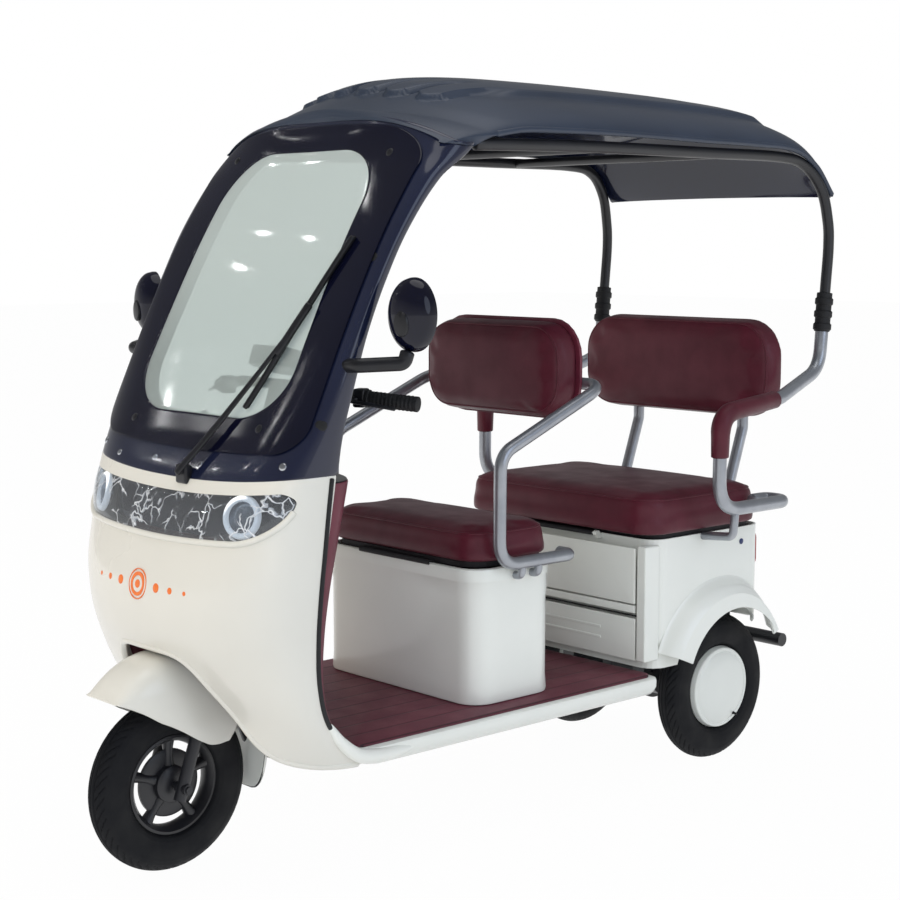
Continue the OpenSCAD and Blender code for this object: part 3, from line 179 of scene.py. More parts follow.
def clearSheet(name, tint, glareShare, foldGlint, glareColour, glareShareTop=None):
    # Thin clear plastic: light passes straight through with a slight tint, and the surface mirrors more at a
    # grazing angle. A pale diffuse veil over it is painted reflection of the bright hall, and pale streaks along the
    # film's bent folds are painted highlights
    mat = bpy.data.materials.new(name)
    mat.use_nodes = True
    tree = mat.node_tree
    tree.nodes.remove(tree.nodes["Principled BSDF"])
    place = add(tree, "TexCoord").outputs["Object"]
    warp = add(tree, "TexNoise", {"Vector": place, "Scale": 14.0, "Detail": 3.0}).outputs["Color"]
    moved = mixColour(tree, 0.12, place, warp, "ADD")
    cells = add(tree, "TexVoronoi", {"Vector": moved, "Scale": 22.0}, feature="DISTANCE_TO_EDGE").outputs[0]
    gate = add(tree, "TexNoise", {"Vector": place, "Scale": 16.0, "Detail": 2.0}).outputs[0]
    # Pale streaks along the film's real folds: painted highlights of the folds
    line = calc(tree, "MULTIPLY", ramp(tree, cells, 0.045, 0.0), ramp(tree, gate, 0.44, 0.56))
    bump = add(tree, "Bump", {"Strength": 0.5 * foldGlint + 0.02, "Distance": 0.002, "Height": gate}).outputs[0]
    clear = add(tree, "BsdfTransparent", {"Color": linear(tint)}).outputs[0]
    gloss = add(tree, "BsdfGlossy", {"Color": (1, 1, 1, 1), "Roughness": 0.04, "Normal": bump}).outputs[0]
    # Pale diffuse veil: painted reflection of the bright hall
    paintedGlare = add(tree, "BsdfDiffuse", {"Color": linear(glareColour)}).outputs[0]
    # Mirror share of a thin sheet, alike from both sides: 4 % plus the fifth power of the slant
    slant = add(tree, "LayerWeight", {"Blend": 0.5, "Normal": bump}).outputs["Facing"]
    facing = calc(tree, "ADD", calc(tree, "POWER", slant, 5.0), 0.04)
    if glareShareTop is not None:  # painted reflection of the hall, laid on more thickly towards the sheet's top
        glareShare = ramp(tree, add(tree, "SeparateXYZ", {0: place}).outputs[2], 1.02, 1.26, glareShare, glareShareTop)
    glareMix = calc(tree, "ADD", calc(tree, "MULTIPLY", line, foldGlint), glareShare)
    body = add(tree, "MixShader", {0: glareMix, 1: clear, 2: paintedGlare}).outputs[0]
    out = add(tree, "MixShader", {0: facing, 1: body, 2: gloss}).outputs[0]
    tree.links.new(out, tree.nodes["Material Output"].inputs["Surface"])
    return mat


# The screen's pale veil is painted reflection of the bright hall, with more of it towards the top
materials["clear_screen"] = clearSheet("clear_screen", "#e2e9e7", 0.36, 0.0, "#c6d1cf", 0.62)
# The lamp cover's pale streaks are painted highlights on its folds
materials["lamp_cover"] = clearSheet("lamp_cover", "#e6eaee", 0.05, 0.8, "#e8ecf0")
materials["lamp_lens"] = clearSheet("lamp_lens", "#eef3f8", 0.12, 0.0, "#e8ecf0")


def plankMat():
    # Floor rubber moulded as planks: a dark seam every 62 mm across and ribs along each plank, 3 mm apart
    mat = finish("maroon_planks", looks["maroon_plastic"])
    tree = mat.node_tree
    shader = tree.nodes["Principled BSDF"]
    place = add(tree, "SeparateXYZ", {0: add(tree, "TexCoord").outputs["Object"]})
    share = calc(tree, "FRACT", calc(tree, "DIVIDE", place.outputs[0], 62 * mm), 0.0)
    seam = ramp(tree, calc(tree, "ABSOLUTE", calc(tree, "SUBTRACT", share, 0.5), 0.0), 0.46, 0.49)
    rib = calc(tree, "SINE", calc(tree, "MULTIPLY", place.outputs[0], 2 * math.pi / (3 * mm)), 0.0)
    height = calc(tree, "SUBTRACT", calc(tree, "MULTIPLY", rib, 0.1), seam)
    old = shader.inputs["Normal"].links[0].from_socket
    bump = add(tree, "Bump", {"Strength": 0.8, "Distance": 1.2 * mm, "Height": height, "Normal": old})
    tree.links.new(bump.outputs[0], shader.inputs["Normal"])
    base = shader.inputs["Base Color"].links[0].from_socket
    tree.links.new(mixColour(tree, seam, base, linear("#2a0f17")), shader.inputs["Base Color"])
    return mat


materials["maroon_planks"] = plankMat()
print("materials made", flush=True)


def piece(name, grids, look, body="chassis", swaps=(), sharp=40):
    # Welds open grids of points, in mm, into one surface with its normals outward
    points, quads, start = [], [], 0
    for grid in grids:
        rows, cols = grid.shape[:2]
        i, j = np.meshgrid(np.arange(rows - 1), np.arange(cols - 1), indexing="ij")
        a = start + i * cols + j
        quads.append(np.stack([a, a + 1, a + cols + 1, a + cols], -1).reshape(-1, 4))
        points.append(grid.reshape(-1, 3) * mm)
        start += rows * cols
    mesh = bpy.data.meshes.new(name)
    mesh.from_pydata(np.concatenate(points).tolist(), [], np.concatenate(quads).tolist())
    work = bmesh.new()
    work.from_mesh(mesh)
    bmesh.ops.remove_doubles(work, verts=work.verts, dist=2e-5)
    bmesh.ops.dissolve_degenerate(work, edges=work.edges, dist=1e-6)
    bmesh.ops.recalc_face_normals(work, faces=work.faces)
    work.to_mesh(mesh)
    work.free()
    mesh.polygons.foreach_set("use_smooth", np.ones(len(mesh.polygons), bool))
    mesh.set_sharp_from_angle(angle=math.radians(sharp))
    made = bpy.data.objects.new(name, mesh)
    scene.collection.objects.link(made)
    mesh.materials.append(materials[look])
    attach(made, body)
    if swaps:
        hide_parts(*swaps)
    return made


def smoothRows(rows, s, column):
    # Smooth curve through a table: cubic between rows with slopes from the neighbouring rows
    rows, s = np.asarray(rows, float), np.asarray(s, float)
    i = np.clip(np.searchsorted(rows[:, 0], s, side="right") - 1, 0, len(rows) - 2)
    before, start, end, after = (rows[np.clip(i + k, 0, len(rows) - 1)] for k in (-1, 0, 1, 2))
    span = end[..., 0] - start[..., 0]
    slopeA = span * (end[..., column] - before[..., column]) / (end[..., 0] - before[..., 0])
    slopeB = span * (after[..., column] - start[..., column]) / (after[..., 0] - start[..., 0])
    u = np.clip((s - start[..., 0]) / span, 0, 1)
    e = u * u * (3 - 2 * u)
    return start[..., column] * (1 - e) + end[..., column] * e + slopeA * u * (1 - u) ** 2 - slopeB * u * u * (1 - u)


def ease(u):
    # Three u squared less two u cubed: level at both ends
    u = np.clip(u, 0, 1)
    return u * u * (3 - 2 * u)


def unit(v):
    # Vector divided by its length
    return v / np.maximum(np.linalg.norm(v, axis=-1, keepdims=True), 1e-9)


def gridNormals(grid):
    # Cross product of the steps along a row and down a column
    return unit(np.cross(np.gradient(grid, axis=1), np.gradient(grid, axis=0)))


def rim(edge, inner, before, steps=5):
    # Half round between two edges of a wall, bulging away from the wall
    a = np.linspace(0, np.pi, steps)[:, None, None]
    out = unit(edge - before) * np.linalg.norm(inner - edge, axis=-1, keepdims=True) / 2
    return edge + (inner - edge) * (1 - np.cos(a)) / 2 + out * np.sin(a)


def wall(outer, inner, closed=False):
    # Closed wall between two grids, with half-round edges
    parts = [outer, inner, rim(outer[0], inner[0], outer[1]), rim(outer[-1], inner[-1], outer[-2])]
    if not closed:
        parts += [rim(outer[:, 0], inner[:, 0], outer[:, 1]), rim(outer[:, -1], inner[:, -1], outer[:, -2])]
        for k in (0, -1):
            for j in (0, -1):
                parts.append(cornerFill(outer, inner, k, j))
    return parts


def cornerFill(outer, inner, k, j):
    # Closes the small gap where two half-round edges of a wall meet
    first = rim(outer[k], inner[k], outer[1 if k == 0 else -2])[:, j]
    second = rim(outer[:, j], inner[:, j], outer[:, 1 if j == 0 else -2])[:, k]
    return np.stack([first, second])


def bendPath(points, bend, step=6):
    # Path with each corner turned into an arc of the bend's radius
    points = np.asarray(points, float)
    path = [points[:1]]
    for i in range(1, len(points) - 1):
        a, b = unit(points[i - 1] - points[i]), unit(points[i + 1] - points[i])
        turn = math.pi - math.acos(float(np.clip(a @ b, -1, 1)))
        reach = 0.49 * min(np.linalg.norm(points[i - 1] - points[i]), np.linalg.norm(points[i + 1] - points[i]))
        cut = min(bend * math.tan(turn / 2), reach)
        u = np.linspace(0, 1, max(4, int(math.degrees(turn) / step) + 2))[:, None]
        start, end = points[i] + a * cut, points[i] + b * cut
        path.append(start * (1 - u) ** 2 + 2 * points[i] * u * (1 - u) + end * u * u)
    path.append(points[-1:])
    return np.concatenate(path)


def sweep(path, radius, count=24, flat=1.0, cap=0.35, closed=False):
    # Round or flattened tube along a path: each ring turns with the path without twisting
    path = np.asarray(path, float)
    tangent = unit(np.gradient(path, axis=0))
    side = np.empty_like(path)
    lead = np.array([1.0, 0, 0]) if abs(tangent[0, 0]) < 0.8 else np.array([0, 0, 1.0])
    for i in range(len(path)):
        lead = unit(lead - tangent[i] * (lead @ tangent[i]))
        side[i] = lead
    up = np.cross(tangent, side)
    r = np.broadcast_to(np.asarray(radius, float), (len(path),))
    if not closed and cap is not None:
        a = np.linspace(np.pi / 2, 0, 5)[:-1]
        for end in (0, -1):
            rows = path[end] + (-1 if end == 0 else 1) * tangent[end] * (cap * r[end] * np.sin(a))[:, None]
            thin = r[end] * np.cos(a)
            thin[0] = 0
            if end == 0:
                path, r = np.concatenate([rows, path]), np.concatenate([thin, r])
                side, up = np.concatenate([np.repeat(side[:1], 4, 0), side]), np.concatenate([np.repeat(up[:1], 4, 0), up])
            else:
                path, r = np.concatenate([path, rows[::-1]]), np.concatenate([r, thin[::-1]])
                side, up = np.concatenate([side, np.repeat(side[-1:], 4, 0)]), np.concatenate([up, np.repeat(up[-1:], 4, 0)])
    a = np.linspace(0, 2 * np.pi, count + 1)
    ring = np.cos(a)[None, :, None] * side[:, None] + flat * np.sin(a)[None, :, None] * up[:, None]
    return path[:, None] + ring * r[:, None, None]


def lathe(profile, centre, axis, count=96):
    # Profile of (radius, height) rows turned about an axis
    axis = unit(np.asarray(axis, float))
    side = unit(np.cross(axis, [0, 0, 1.0] if abs(axis[2]) < 0.9 else [1.0, 0, 0]))
    up = np.cross(axis, side)
    profile = np.asarray(profile, float)
    a = np.linspace(0, 2 * np.pi, count + 1)
    ring = np.cos(a)[:, None] * side + np.sin(a)[:, None] * up
    return np.asarray(centre, float) + profile[:, 0, None, None] * ring + (profile[:, 1, None] * axis)[:, None]


def curve(points, count):
    # Smooth line through a few points, even in its parameter
    points = np.asarray(points, float)
    rows = np.concatenate([np.arange(len(points))[:, None], points], 1)
    s = np.linspace(0, len(points) - 1, count)
    return np.stack([smoothRows(rows, s, k + 1) for k in range(points.shape[1])], -1)


def outline(halfW, halfD, r, count=144):
    # Rounded rectangle as a loop: every side and every corner keeps its own share of the points
    r = min(r, halfW, halfD)
    side, turn = 2 * count // 12, count // 12
    runs = []
    for k, (sx, sy) in enumerate(((1, 1), (-1, 1), (-1, -1), (1, -1))):
        a = np.pi / 2 * (k + np.linspace(0, 1, turn + 1))
        runs.append(np.array([sx * (halfW - r), sy * (halfD - r)]) + r * np.stack([np.cos(a), np.sin(a)], -1))
    u = np.linspace(0, 1, side + 1)[1:-1, None]
    loop = []
    for k in range(4):
        loop += [runs[k], runs[k][-1] + (runs[(k + 1) % 4][0] - runs[k][-1]) * u]
    return np.concatenate(loop + [runs[0][:1]])


def pad(halfW, halfD, r, profile, crown=0.0, count=144):
    # Stack of rounded rectangles: each row of the profile is an inset and a height; the top swells by the crown
    rows = []
    for inset, z in profile:
        loop = outline(max(halfW - inset, 0.5), max(halfD - inset, 0.01), max(r - inset, 0.4), count)
        rows.append(np.concatenate([loop, np.full((len(loop), 1), float(z))], 1))
    grid = np.stack(rows)
    top = max(z for _, z in profile)
    share = np.clip((grid[..., 2] - 0.5 * top) / (0.5 * top), 0, 1)
    grid[..., 2] += crown * share * (1 - (grid[..., 0] / halfW) ** 2) * (1 - (grid[..., 1] / halfD) ** 2)
    return grid


def softProfile(height, edge, halfD, low=4):
    # Rounded lower edge, upright side, rounded upper edge and a flat top that closes on the middle line
    a = np.linspace(0, np.pi / 2, 7)
    bottom = [(halfD, 0), (halfD * 0.6, 0), (low + 6, 0)] + [(low * (1 - math.sin(t)), low * (1 - math.cos(t))) for t in a]
    upper = [(edge * (1 - math.cos(t)), height - edge * (1 - math.sin(t))) for t in a]
    inner = [(edge + (halfD - edge) * u, height) for u in np.linspace(0.08, 1, 10)]
    return bottom + upper + inner


def boxFaces(halfX, halfY, halfZ, r, place, turn=None, seg=5):
    # Block with rounded edges: a rounded rectangle stacked with a rounded top and bottom
    a = np.linspace(0, np.pi / 2, seg)
    low = [(r * (1 - math.sin(t)), -halfZ + r * (1 - math.cos(t))) for t in a]
    rows = [(min(halfX, halfY), -halfZ)] + low + [(i, -z) for i, z in low[::-1]] + [(min(halfX, halfY), halfZ)]
    grid = pad(halfX, halfY, max(r, 1.0), rows, count=48)
    if turn is not None:
        grid = grid @ np.asarray(turn).T
    return grid + np.asarray(place, float)


def turnZ(angle):
    # Matrix of a turn about the upright axis, in degrees
    c, s = math.cos(math.radians(angle)), math.sin(math.radians(angle))
    return np.array([[c, -s, 0], [s, c, 0], [0, 0, 1]])


def frameOf(direction, up=(0, 0, 1.0)):
    # Matrix whose third column is the direction and second lies close to up
    w = unit(np.asarray(direction, float))
    u = unit(np.cross(up, w))
    return np.stack([u, np.cross(w, u), w], 1)


# Nose form shared by the shell, the lamp band, the cowl and the screen
# height, centre y, rear edge y, half width, squareness of the plan
noseRows = [
    [240, -722, -500, 330, 2.2], [280, -726, -549, 336, 2.2], [340, -733, -607, 341, 2.2],
    [420, -777, -632, 345, 2.2], [510, -816, -636, 348, 2.25], [600, -819, -629, 350, 2.5],
    [690, -786, -615, 351, 3.1], [800, -742, -601, 356, 3.9], [900, -682, -592, 364, 4.5],
    [1000, -627, -566, 369, 4.7], [1100, -576, -534, 371, 4.7], [1200, -524, -490, 373, 4.7],
    [1300, -468, -434, 376, 4.7], [1400, -406, -352, 378, 4.4], [1450, -379, -280, 378, 3.9],
    [1490, -364, -243, 375, 3.2], [1540, -352, -229, 371, 2.7],
]
noseLooks = dict(shellLow=240, archTop=470, archHalf=185, archPower=5.6, waistZ=809, waistRise=20, bandTip=345, bandTipZ=784,
                 bandLow=698, bandRise=8, bandStrip=25, bandTurn=320, bandTube=6.4, lampX=250, lampZ=755, shellWall=5,
                 lipTube=8.0, trimLow=335, trimHigh=826, trimTube=5.0, cowlTop=1530, cowlDrop=58, cowlWall=20)


def nosePoint(t, z, inset=0.0):
    # Quarter superellipses in plan: x follows a power of sine and y the same power of cosine
    t, z, inset = np.broadcast_arrays(np.asarray(t, float), np.asarray(z, float), np.asarray(inset, float))
    power = 2 / smoothRows(noseRows, z, 4)
    rear = smoothRows(noseRows, z, 2)
    x = (smoothRows(noseRows, z, 3) - inset) * np.sign(t) * np.abs(np.sin(np.pi / 2 * t)) ** power
    y = rear - (rear - smoothRows(noseRows, z, 1) - inset) * np.clip(np.cos(np.pi / 2 * t), 0, 1) ** power
    return np.stack([x, y, z], -1)


def noseShare(x, z, inset=0.0):
    # Parameter of the plan at which the form has this x
    n = smoothRows(noseRows, z, 4)
    share = np.clip(np.abs(x) / (smoothRows(noseRows, z, 3) - inset), 0, 1)
    return np.sign(x) * 2 / np.pi * np.arcsin(share ** (n / 2))


def noseOn(x, z, out=0.0):
    # Point of the form at an x and a height, moved out by a distance
    x, z = np.asarray(x, float), np.asarray(z, float)
    return nosePoint(noseShare(x, z, -out), z, -out)


def noseOut(x, z):
    # Direction that looks out of the form at a place
    a, b = noseOn(x + 2.0, z) - noseOn(x - 2.0, z), noseOn(x, z + 2.0) - noseOn(x, z - 2.0)
    return unit(np.cross(a, b))


def archEdge(x):
    # Bell-shaped lower edge that leaves room for the wheel
    k = noseLooks
    return k["shellLow"] + (k["archTop"] - k["shellLow"]) / (1 + (np.abs(x) / k["archHalf"]) ** k["archPower"])


def waist(x):
    # Parabola that rises from the middle to the sides
    return noseLooks["waistZ"] + noseLooks["waistRise"] * (np.abs(x) / 338) ** 2


def bandLow(x):
    # Rising line to the lamps, then a quarter ellipse up to the band's tip
    k = noseLooks
    s = np.clip((np.abs(x) - k["lampX"]) / (k["bandTip"] - k["lampX"]), 0, 1)
    flat = k["bandLow"] + k["bandRise"] * (np.minimum(np.abs(x), k["lampX"]) / k["lampX"]) ** 2
    return flat + (k["bandTipZ"] - flat) * (1 - np.sqrt(1 - s * s))


def bandHigh(x):
    # Follows the waist, then drops by a quarter ellipse to the band's tip
    k = noseLooks
    s = np.clip((np.abs(x) - k["bandTurn"]) / (k["bandTip"] - k["bandTurn"]), 0, 1)
    high = waist(np.minimum(np.abs(x), k["bandTurn"])) - k["bandStrip"]
    return high + (k["bandTipZ"] - high) * (1 - np.sqrt(1 - s * s))


def cowlEdge(x):
    # Height at the middle less a cube of the share of the half width
    return noseLooks["cowlTop"] - noseLooks["cowlDrop"] * (np.abs(x) / 368) ** 3


def shell():
    # Columns gather at the band's tips, where its edge turns upright
    k = noseLooks
    tip = float(noseShare(np.array(k["bandTip"] - 0.01), np.array(k["bandTipZ"] * 1.0)))
    half = np.concatenate([np.linspace(0, tip - 0.06, 60), tip - 0.06 * (1 - np.linspace(0, 1, 24)[1:]) ** 2,
                           tip + (1 - tip) * np.linspace(0, 1, 22)[1:]])
    t = np.concatenate([-half[:0:-1], half])
    lowX, highX = nosePoint(t, 400.0)[:, 0], nosePoint(t, k["bandTipZ"])[:, 0]
    low, mid, top = archEdge(lowX), bandLow(highX), bandHigh(highX)
    v = np.linspace(0, 1, 70)[:, None]
    w = np.linspace(0, 1, 9)[:, None]
    grids = []
    for inset in (0.0, k["shellWall"]):
        grids.append((nosePoint(t, low + (mid - low) * v, inset),
                      nosePoint(t, top + (waist(highX) - 1 - top) * w, inset)))
    (lower, upper), (lowerIn, upperIn) = grids
    cut = np.abs(t) <= tip + 1e-6
    parts = [lower, lowerIn, upper, upperIn, rim(lower[0], lowerIn[0], lower[1]),
             np.stack([lower[-1], lowerIn[-1]])[:, cut], np.stack([upper[0], upperIn[0]])[:, cut],
             rim(upper[-1], upperIn[-1], upper[-2])]
    for j in (0, -1):
        parts += [np.stack([lower[:, j], lowerIn[:, j]]), np.stack([upper[:, j], upperIn[:, j]])]
    edge = nosePoint(t, low, 5.0)[4:-4]
    parts.append(sweep(edge, k["lipTube"], 16))
    inBand = np.abs(highX) < k["bandTip"] - 1
    parts.append(sweep(nosePoint(t[inBand], mid[inBand] - 4, 0.5), k["bandTube"], 14))
    piece("front_shell_skin", parts, "cream_paint", swaps=("front_shell",))
    z = np.linspace(k["trimLow"], k["trimHigh"], 60)
    for side in sides:
        line = nosePoint(side * 0.995, z, 1.0) + [side * 1.0, 2.0, 0]
        piece("shell_trim_" + tag(side), [sweep(line, k["trimTube"], 14)], "black_rubber")


shell()


lampLooks = dict(
    turn=(0.32, -0.92, 0.22), sink=9, tray=(44.0, 48.0), swell=7, swellMm=46, film=(1.0, 2.2),
    ring=[(30, -4), (31, 4), (34, 7.5), (38, 7.5), (41.5, 4), (42, -4), (30, -4)],
    bowl=[(31, 2), (29, -3), (26, -8), (22, -9), (0, -9), (0, -11), (31, -11), (31, 2)],
    lens=(23, 18, -9),  # radius, height, base
)


def lampBand():
    # Dark tray from the band's lower to its upper line, with lamps on it under a clear film
    k, lamp = noseLooks, lampLooks
    x = np.linspace(-k["bandTip"] + 1, k["bandTip"] - 1, 121)
    v = np.linspace(0, 1, 13)[:, None]
    low, high = bandLow(x) + 1.0, bandHigh(x) - 1.0
    z = low + (high - low) * v
    front, back = (noseOn(x * 0.97, z, -depth) for depth in lamp["tray"])
    ends = [np.stack([front[i], back[i]]) for i in (0, -1)] + [np.stack([front[:, j], back[:, j]]) for j in (0, -1)]
    piece("lamp_tray", [front, back] + ends, "black_border", swaps=("headlamp_housing",))
    # The film swells over each lamp as a bell curve and lies on the band's edge
    far = (np.abs(x) - k["lampX"]) ** 2 + (z - k["lampZ"]) ** 2
    swell = lamp["swell"] * np.exp(-far / (2 * lamp["swellMm"] ** 2)) + 3
    edge = np.sin(np.pi * v) ** 0.5 * np.sin(np.pi * np.linspace(0, 1, 121)) ** 0.3
    outer, inner = (nosePoint(noseShare(x, z), z, -swell * edge + d) for d in lamp["film"])
    piece("lamp_film", wall(outer, inner), "lamp_cover", swaps=("headlamp_cover",))
    radius, height, base = lamp["lens"]
    arc = np.linspace(0.1, math.pi / 2, 14)
    dome = [(0, 9)] + [(radius * math.sin(a), base + height * math.cos(a)) for a in arc] + [(0, base)]
    rings, bowls, lenses = [], [], []
    for side in sides:
        axis = unit(np.array(lamp["turn"]) * [side, 1, 1])
        at = noseOn(side * k["lampX"], k["lampZ"], 0) - axis * lamp["sink"]
        rings.append(lathe(curve(lamp["ring"], 40), at, axis))
        bowls.append(lathe(lamp["bowl"], at, axis))
        lenses.append(lathe(dome, at, axis))
    piece("lamp_rings", rings, "lamp_ring", swaps=("headlamps",))
    piece("lamp_bowls", bowls, "bright_metal")
    piece("lamp_lenses", lenses, "lamp_lens")


lampBand()
print("shell made", flush=True)


def unitLoop(low, high, count=90):
    # Loop of a unit box (across -1 to 1, up 0 to 1) with elliptic corners, in four runs from mid-corner to mid-corner
    corners = [(-1, 0, low), (1, 0, low), (1, 1, high), (-1, 1, high)]
    out = []
    for k in range(4):
        start, turn = np.radians(225 + 90 * k), np.radians(45)
        def arc(corner, angles):
            a, b, (ra, rb) = corner
            centre = np.array([a - np.sign(a) * ra, b + (rb if b == 0 else -rb)])
            return centre + np.stack([ra * np.cos(angles), rb * np.sin(angles)], -1)
        first = arc(corners[k], np.linspace(start, start + turn, 30))
        second = arc(corners[(k + 1) % 4], np.linspace(start + turn, start + 2 * turn, 30))
        line = np.concatenate([first, second])
        far = np.concatenate([[0], np.cumsum(np.hypot(*(np.diff(line, axis=0) * [250, 600]).T))])
        s = np.linspace(0, far[-1], count + 1)[:-1]
        out.append(np.stack([np.interp(s, far, line[:, i]) for i in range(2)], -1))
    loop = np.concatenate(out)
    return np.concatenate([loop, loop[:1]])


screenLooks = dict(windowLow=928, windowHigh=1463, halfLow=256, halfHigh=242, borderHalf=341, borderLow=866,
                   borderHigh=1514, borderRise=12, borderDrop=30, middle=(0.0, 1190.0))


def windowLoop(margin=0.0):
    # Rounded unit square stretched to the window, narrower at its top
    k = screenLooks
    a, b = unitLoop((0.5, 0.19), (0.52, 0.21)).T
    z = k["windowLow"] - margin + (k["windowHigh"] - k["windowLow"] + 2 * margin) * b
    x = (k["halfLow"] + margin + (k["halfHigh"] - k["halfLow"]) * b) * a
    return np.stack([noseShare(x, z), z], -1)


def borderLoop():
    # Rounded unit square between a low parabola and a high cubic
    k = screenLooks
    a, b = unitLoop((0.2, 0.09), (0.36, 0.1)).T
    low, high = k["borderLow"] + k["borderRise"] * a ** 2, k["borderHigh"] - k["borderDrop"] * np.abs(a) ** 3
    z = low + (high - low) * b
    return np.stack([noseShare(k["borderHalf"] * a, z), z], -1)


def cowlLoop():
    # Nearly sharp unit square from the waist to the cowl's top edge
    a, b = unitLoop((0.004, 0.002), (0.004, 0.002)).T
    low = waist(nosePoint(a, 800.0)[:, 0]) + 1
    high = cowlEdge(nosePoint(a, 1530.0)[:, 0])
    return np.stack([a, low + (high - low) * b], -1)


def ringGrid(outer, inner, rows, inset):
    # Rows of loops from the outer one to the inner one, laid on the nose form
    u = np.linspace(0, 1, rows)[:, None]
    t, z = (outer[:, i] + (inner[:, i] - outer[:, i]) * u for i in range(2))
    return nosePoint(t, z, inset)


def cowl():
    # Cowl and border are rings round the window, and the glass fills it
    big, window, border = cowlLoop(), windowLoop(), borderLoop()
    outer, inner = (ringGrid(big, window, 40, inset) for inset in (0.0, noseLooks["cowlWall"]))
    piece("cowl_skin", wall(outer, inner, closed=True), "navy_cowl", swaps=("windscreen_cowl",))
    slim = windowLoop(-1.0)
    outer, inner = (ringGrid(border, slim, 30, inset) for inset in (-5.5, -1.2))
    piece("border_skin", wall(outer, inner, closed=True), "black_border", swaps=("screen_border",))
    # Glass: the window's loop drawn in to its middle
    u = np.linspace(1, 0, 40)[:, None]
    mid = screenLooks["middle"]
    t, z = (mid[i] + (windowLoop(-1.5)[:, i] - mid[i]) * u for i in range(2))
    outer, inner = nosePoint(t, z, -4.8), nosePoint(t, z, -1.6)
    piece("screen_glass", [outer, inner, rim(outer[0], inner[0], outer[1])], "clear_screen", swaps=("windscreen",))


cowl()

screwTable = [  # x, height, radius, stands proud, look
    (-262, 1452, 9, 5.5, "black_plastic"), (258, 1452, 9, 5.5, "black_plastic"), (-218, 908, 9, 5.5, "black_plastic"),
    (218, 916, 9, 5.5, "black_plastic"), (-344, 1440, 9, 0, "black_plastic"), (344, 1245, 11, -2, "black_rubber"),
    (-344, 1245, 11, -2, "black_rubber"), (356, 930, 12, -2, "black_rubber"), (-350, 914, 9, 2, "black_plastic"),
    (-220, 836, 7, 0, "bright_metal"), (-81, 838, 7, 0, "bright_metal"), (80, 838, 7, 0, "bright_metal"),
    (314, 852, 8, 0, "bright_metal"), (-314, 852, 8, 0, "bright_metal"),
]
for n, (x, z, r, proud, look) in enumerate(screwTable):
    # Domed head turned about the form's own direction
    dome = curve([(0, 3.2), (r * 0.55, 2.8), (r * 0.9, 1.4), (r, 0)], 12).tolist()
    head = lathe(dome + [(r, -2), (0, -2)], noseOn(x, z, proud), noseOut(float(x), float(z)), 24)
    piece(f"screw_{n}", [head], look)

motifLooks = dict(height=600.0, dots=[(64, 9.4), (108, 6.6), (150, 4.4)],  # distance from the middle, radius
                  rings=[(29.2, 31), (17, 24), (0, 8.5)])  # inner and outer radius


def noseMotif():
    # Dots either side of flat rings; a ring that starts at the middle is a disc
    k = motifLooks
    z, grids = k["height"], []
    for x, r in [(-x, r) for x, r in k["dots"][::-1]] + k["dots"]:
        dot = [(0, 0.9), (r * 0.8, 0.8), (r, 0.2), (r, -1.5), (0, -1.5)]
        grids.append(lathe(dot, noseOn(x, z), noseOut(float(x), z), 32))
    for low, high in k["rings"]:
        ring = [(low, -1.5), (low, 0.7), (high - 0.6, 0.9), (high, 0.2), (high, -1.5), (low, -1.5)]
        grids.append(lathe(ring, noseOn(0, z), noseOut(0.0, z), 64))
    piece("nose_dots", grids, "amber_paint")


noseMotif()
print("cowl made", flush=True)

# Roof: station, centre y, centre z, edge y, edge z, half width
roofRows = [
    [0.04, -348, 1550, -189, 1488, 371], [0.10, -284, 1580, -110, 1500, 371], [0.18, -200, 1606, -10, 1503, 371],
    [0.28, -60, 1621, 120, 1504, 372], [0.42, 149, 1624, 280, 1503, 372], [0.58, 401, 1621, 460, 1500, 372],
    [0.74, 640, 1613, 650, 1498, 372], [0.86, 800, 1596, 800, 1490, 371], [0.94, 895, 1548, 885, 1452, 370],
    [1.00, 950, 1392, 950, 1388, 368],
]
roofLooks = dict(power=1.7, ribHigh=13, ribPitch=80, ribHalf=31, ribStart=0.1, panelHalf=250, wallT=5)


def ribLift(x, s):
    # Fingers at the front run into one raised panel; both rise by a smooth step
    k = roofLooks
    off = np.abs(np.mod(x / k["ribPitch"], 1) - 0.5) * k["ribPitch"]
    finger = ease((k["ribHalf"] - off) / 6) * (np.abs(x) < 3 * k["ribPitch"])
    panel = ease((k["panelHalf"] + 8 - np.abs(x)) / 16)
    roundEnd = 0.03 * np.clip(off / k["ribHalf"], 0, 1) ** 2
    start = ease((s - k["ribStart"] - roundEnd) / 0.008)
    blend, stop = ease((s - k["ribStart"] - 0.1) / 0.08), ease((0.9 - s) / 0.05)
    return k["ribHigh"] * start * stop * (finger * (1 - blend) + panel * blend)


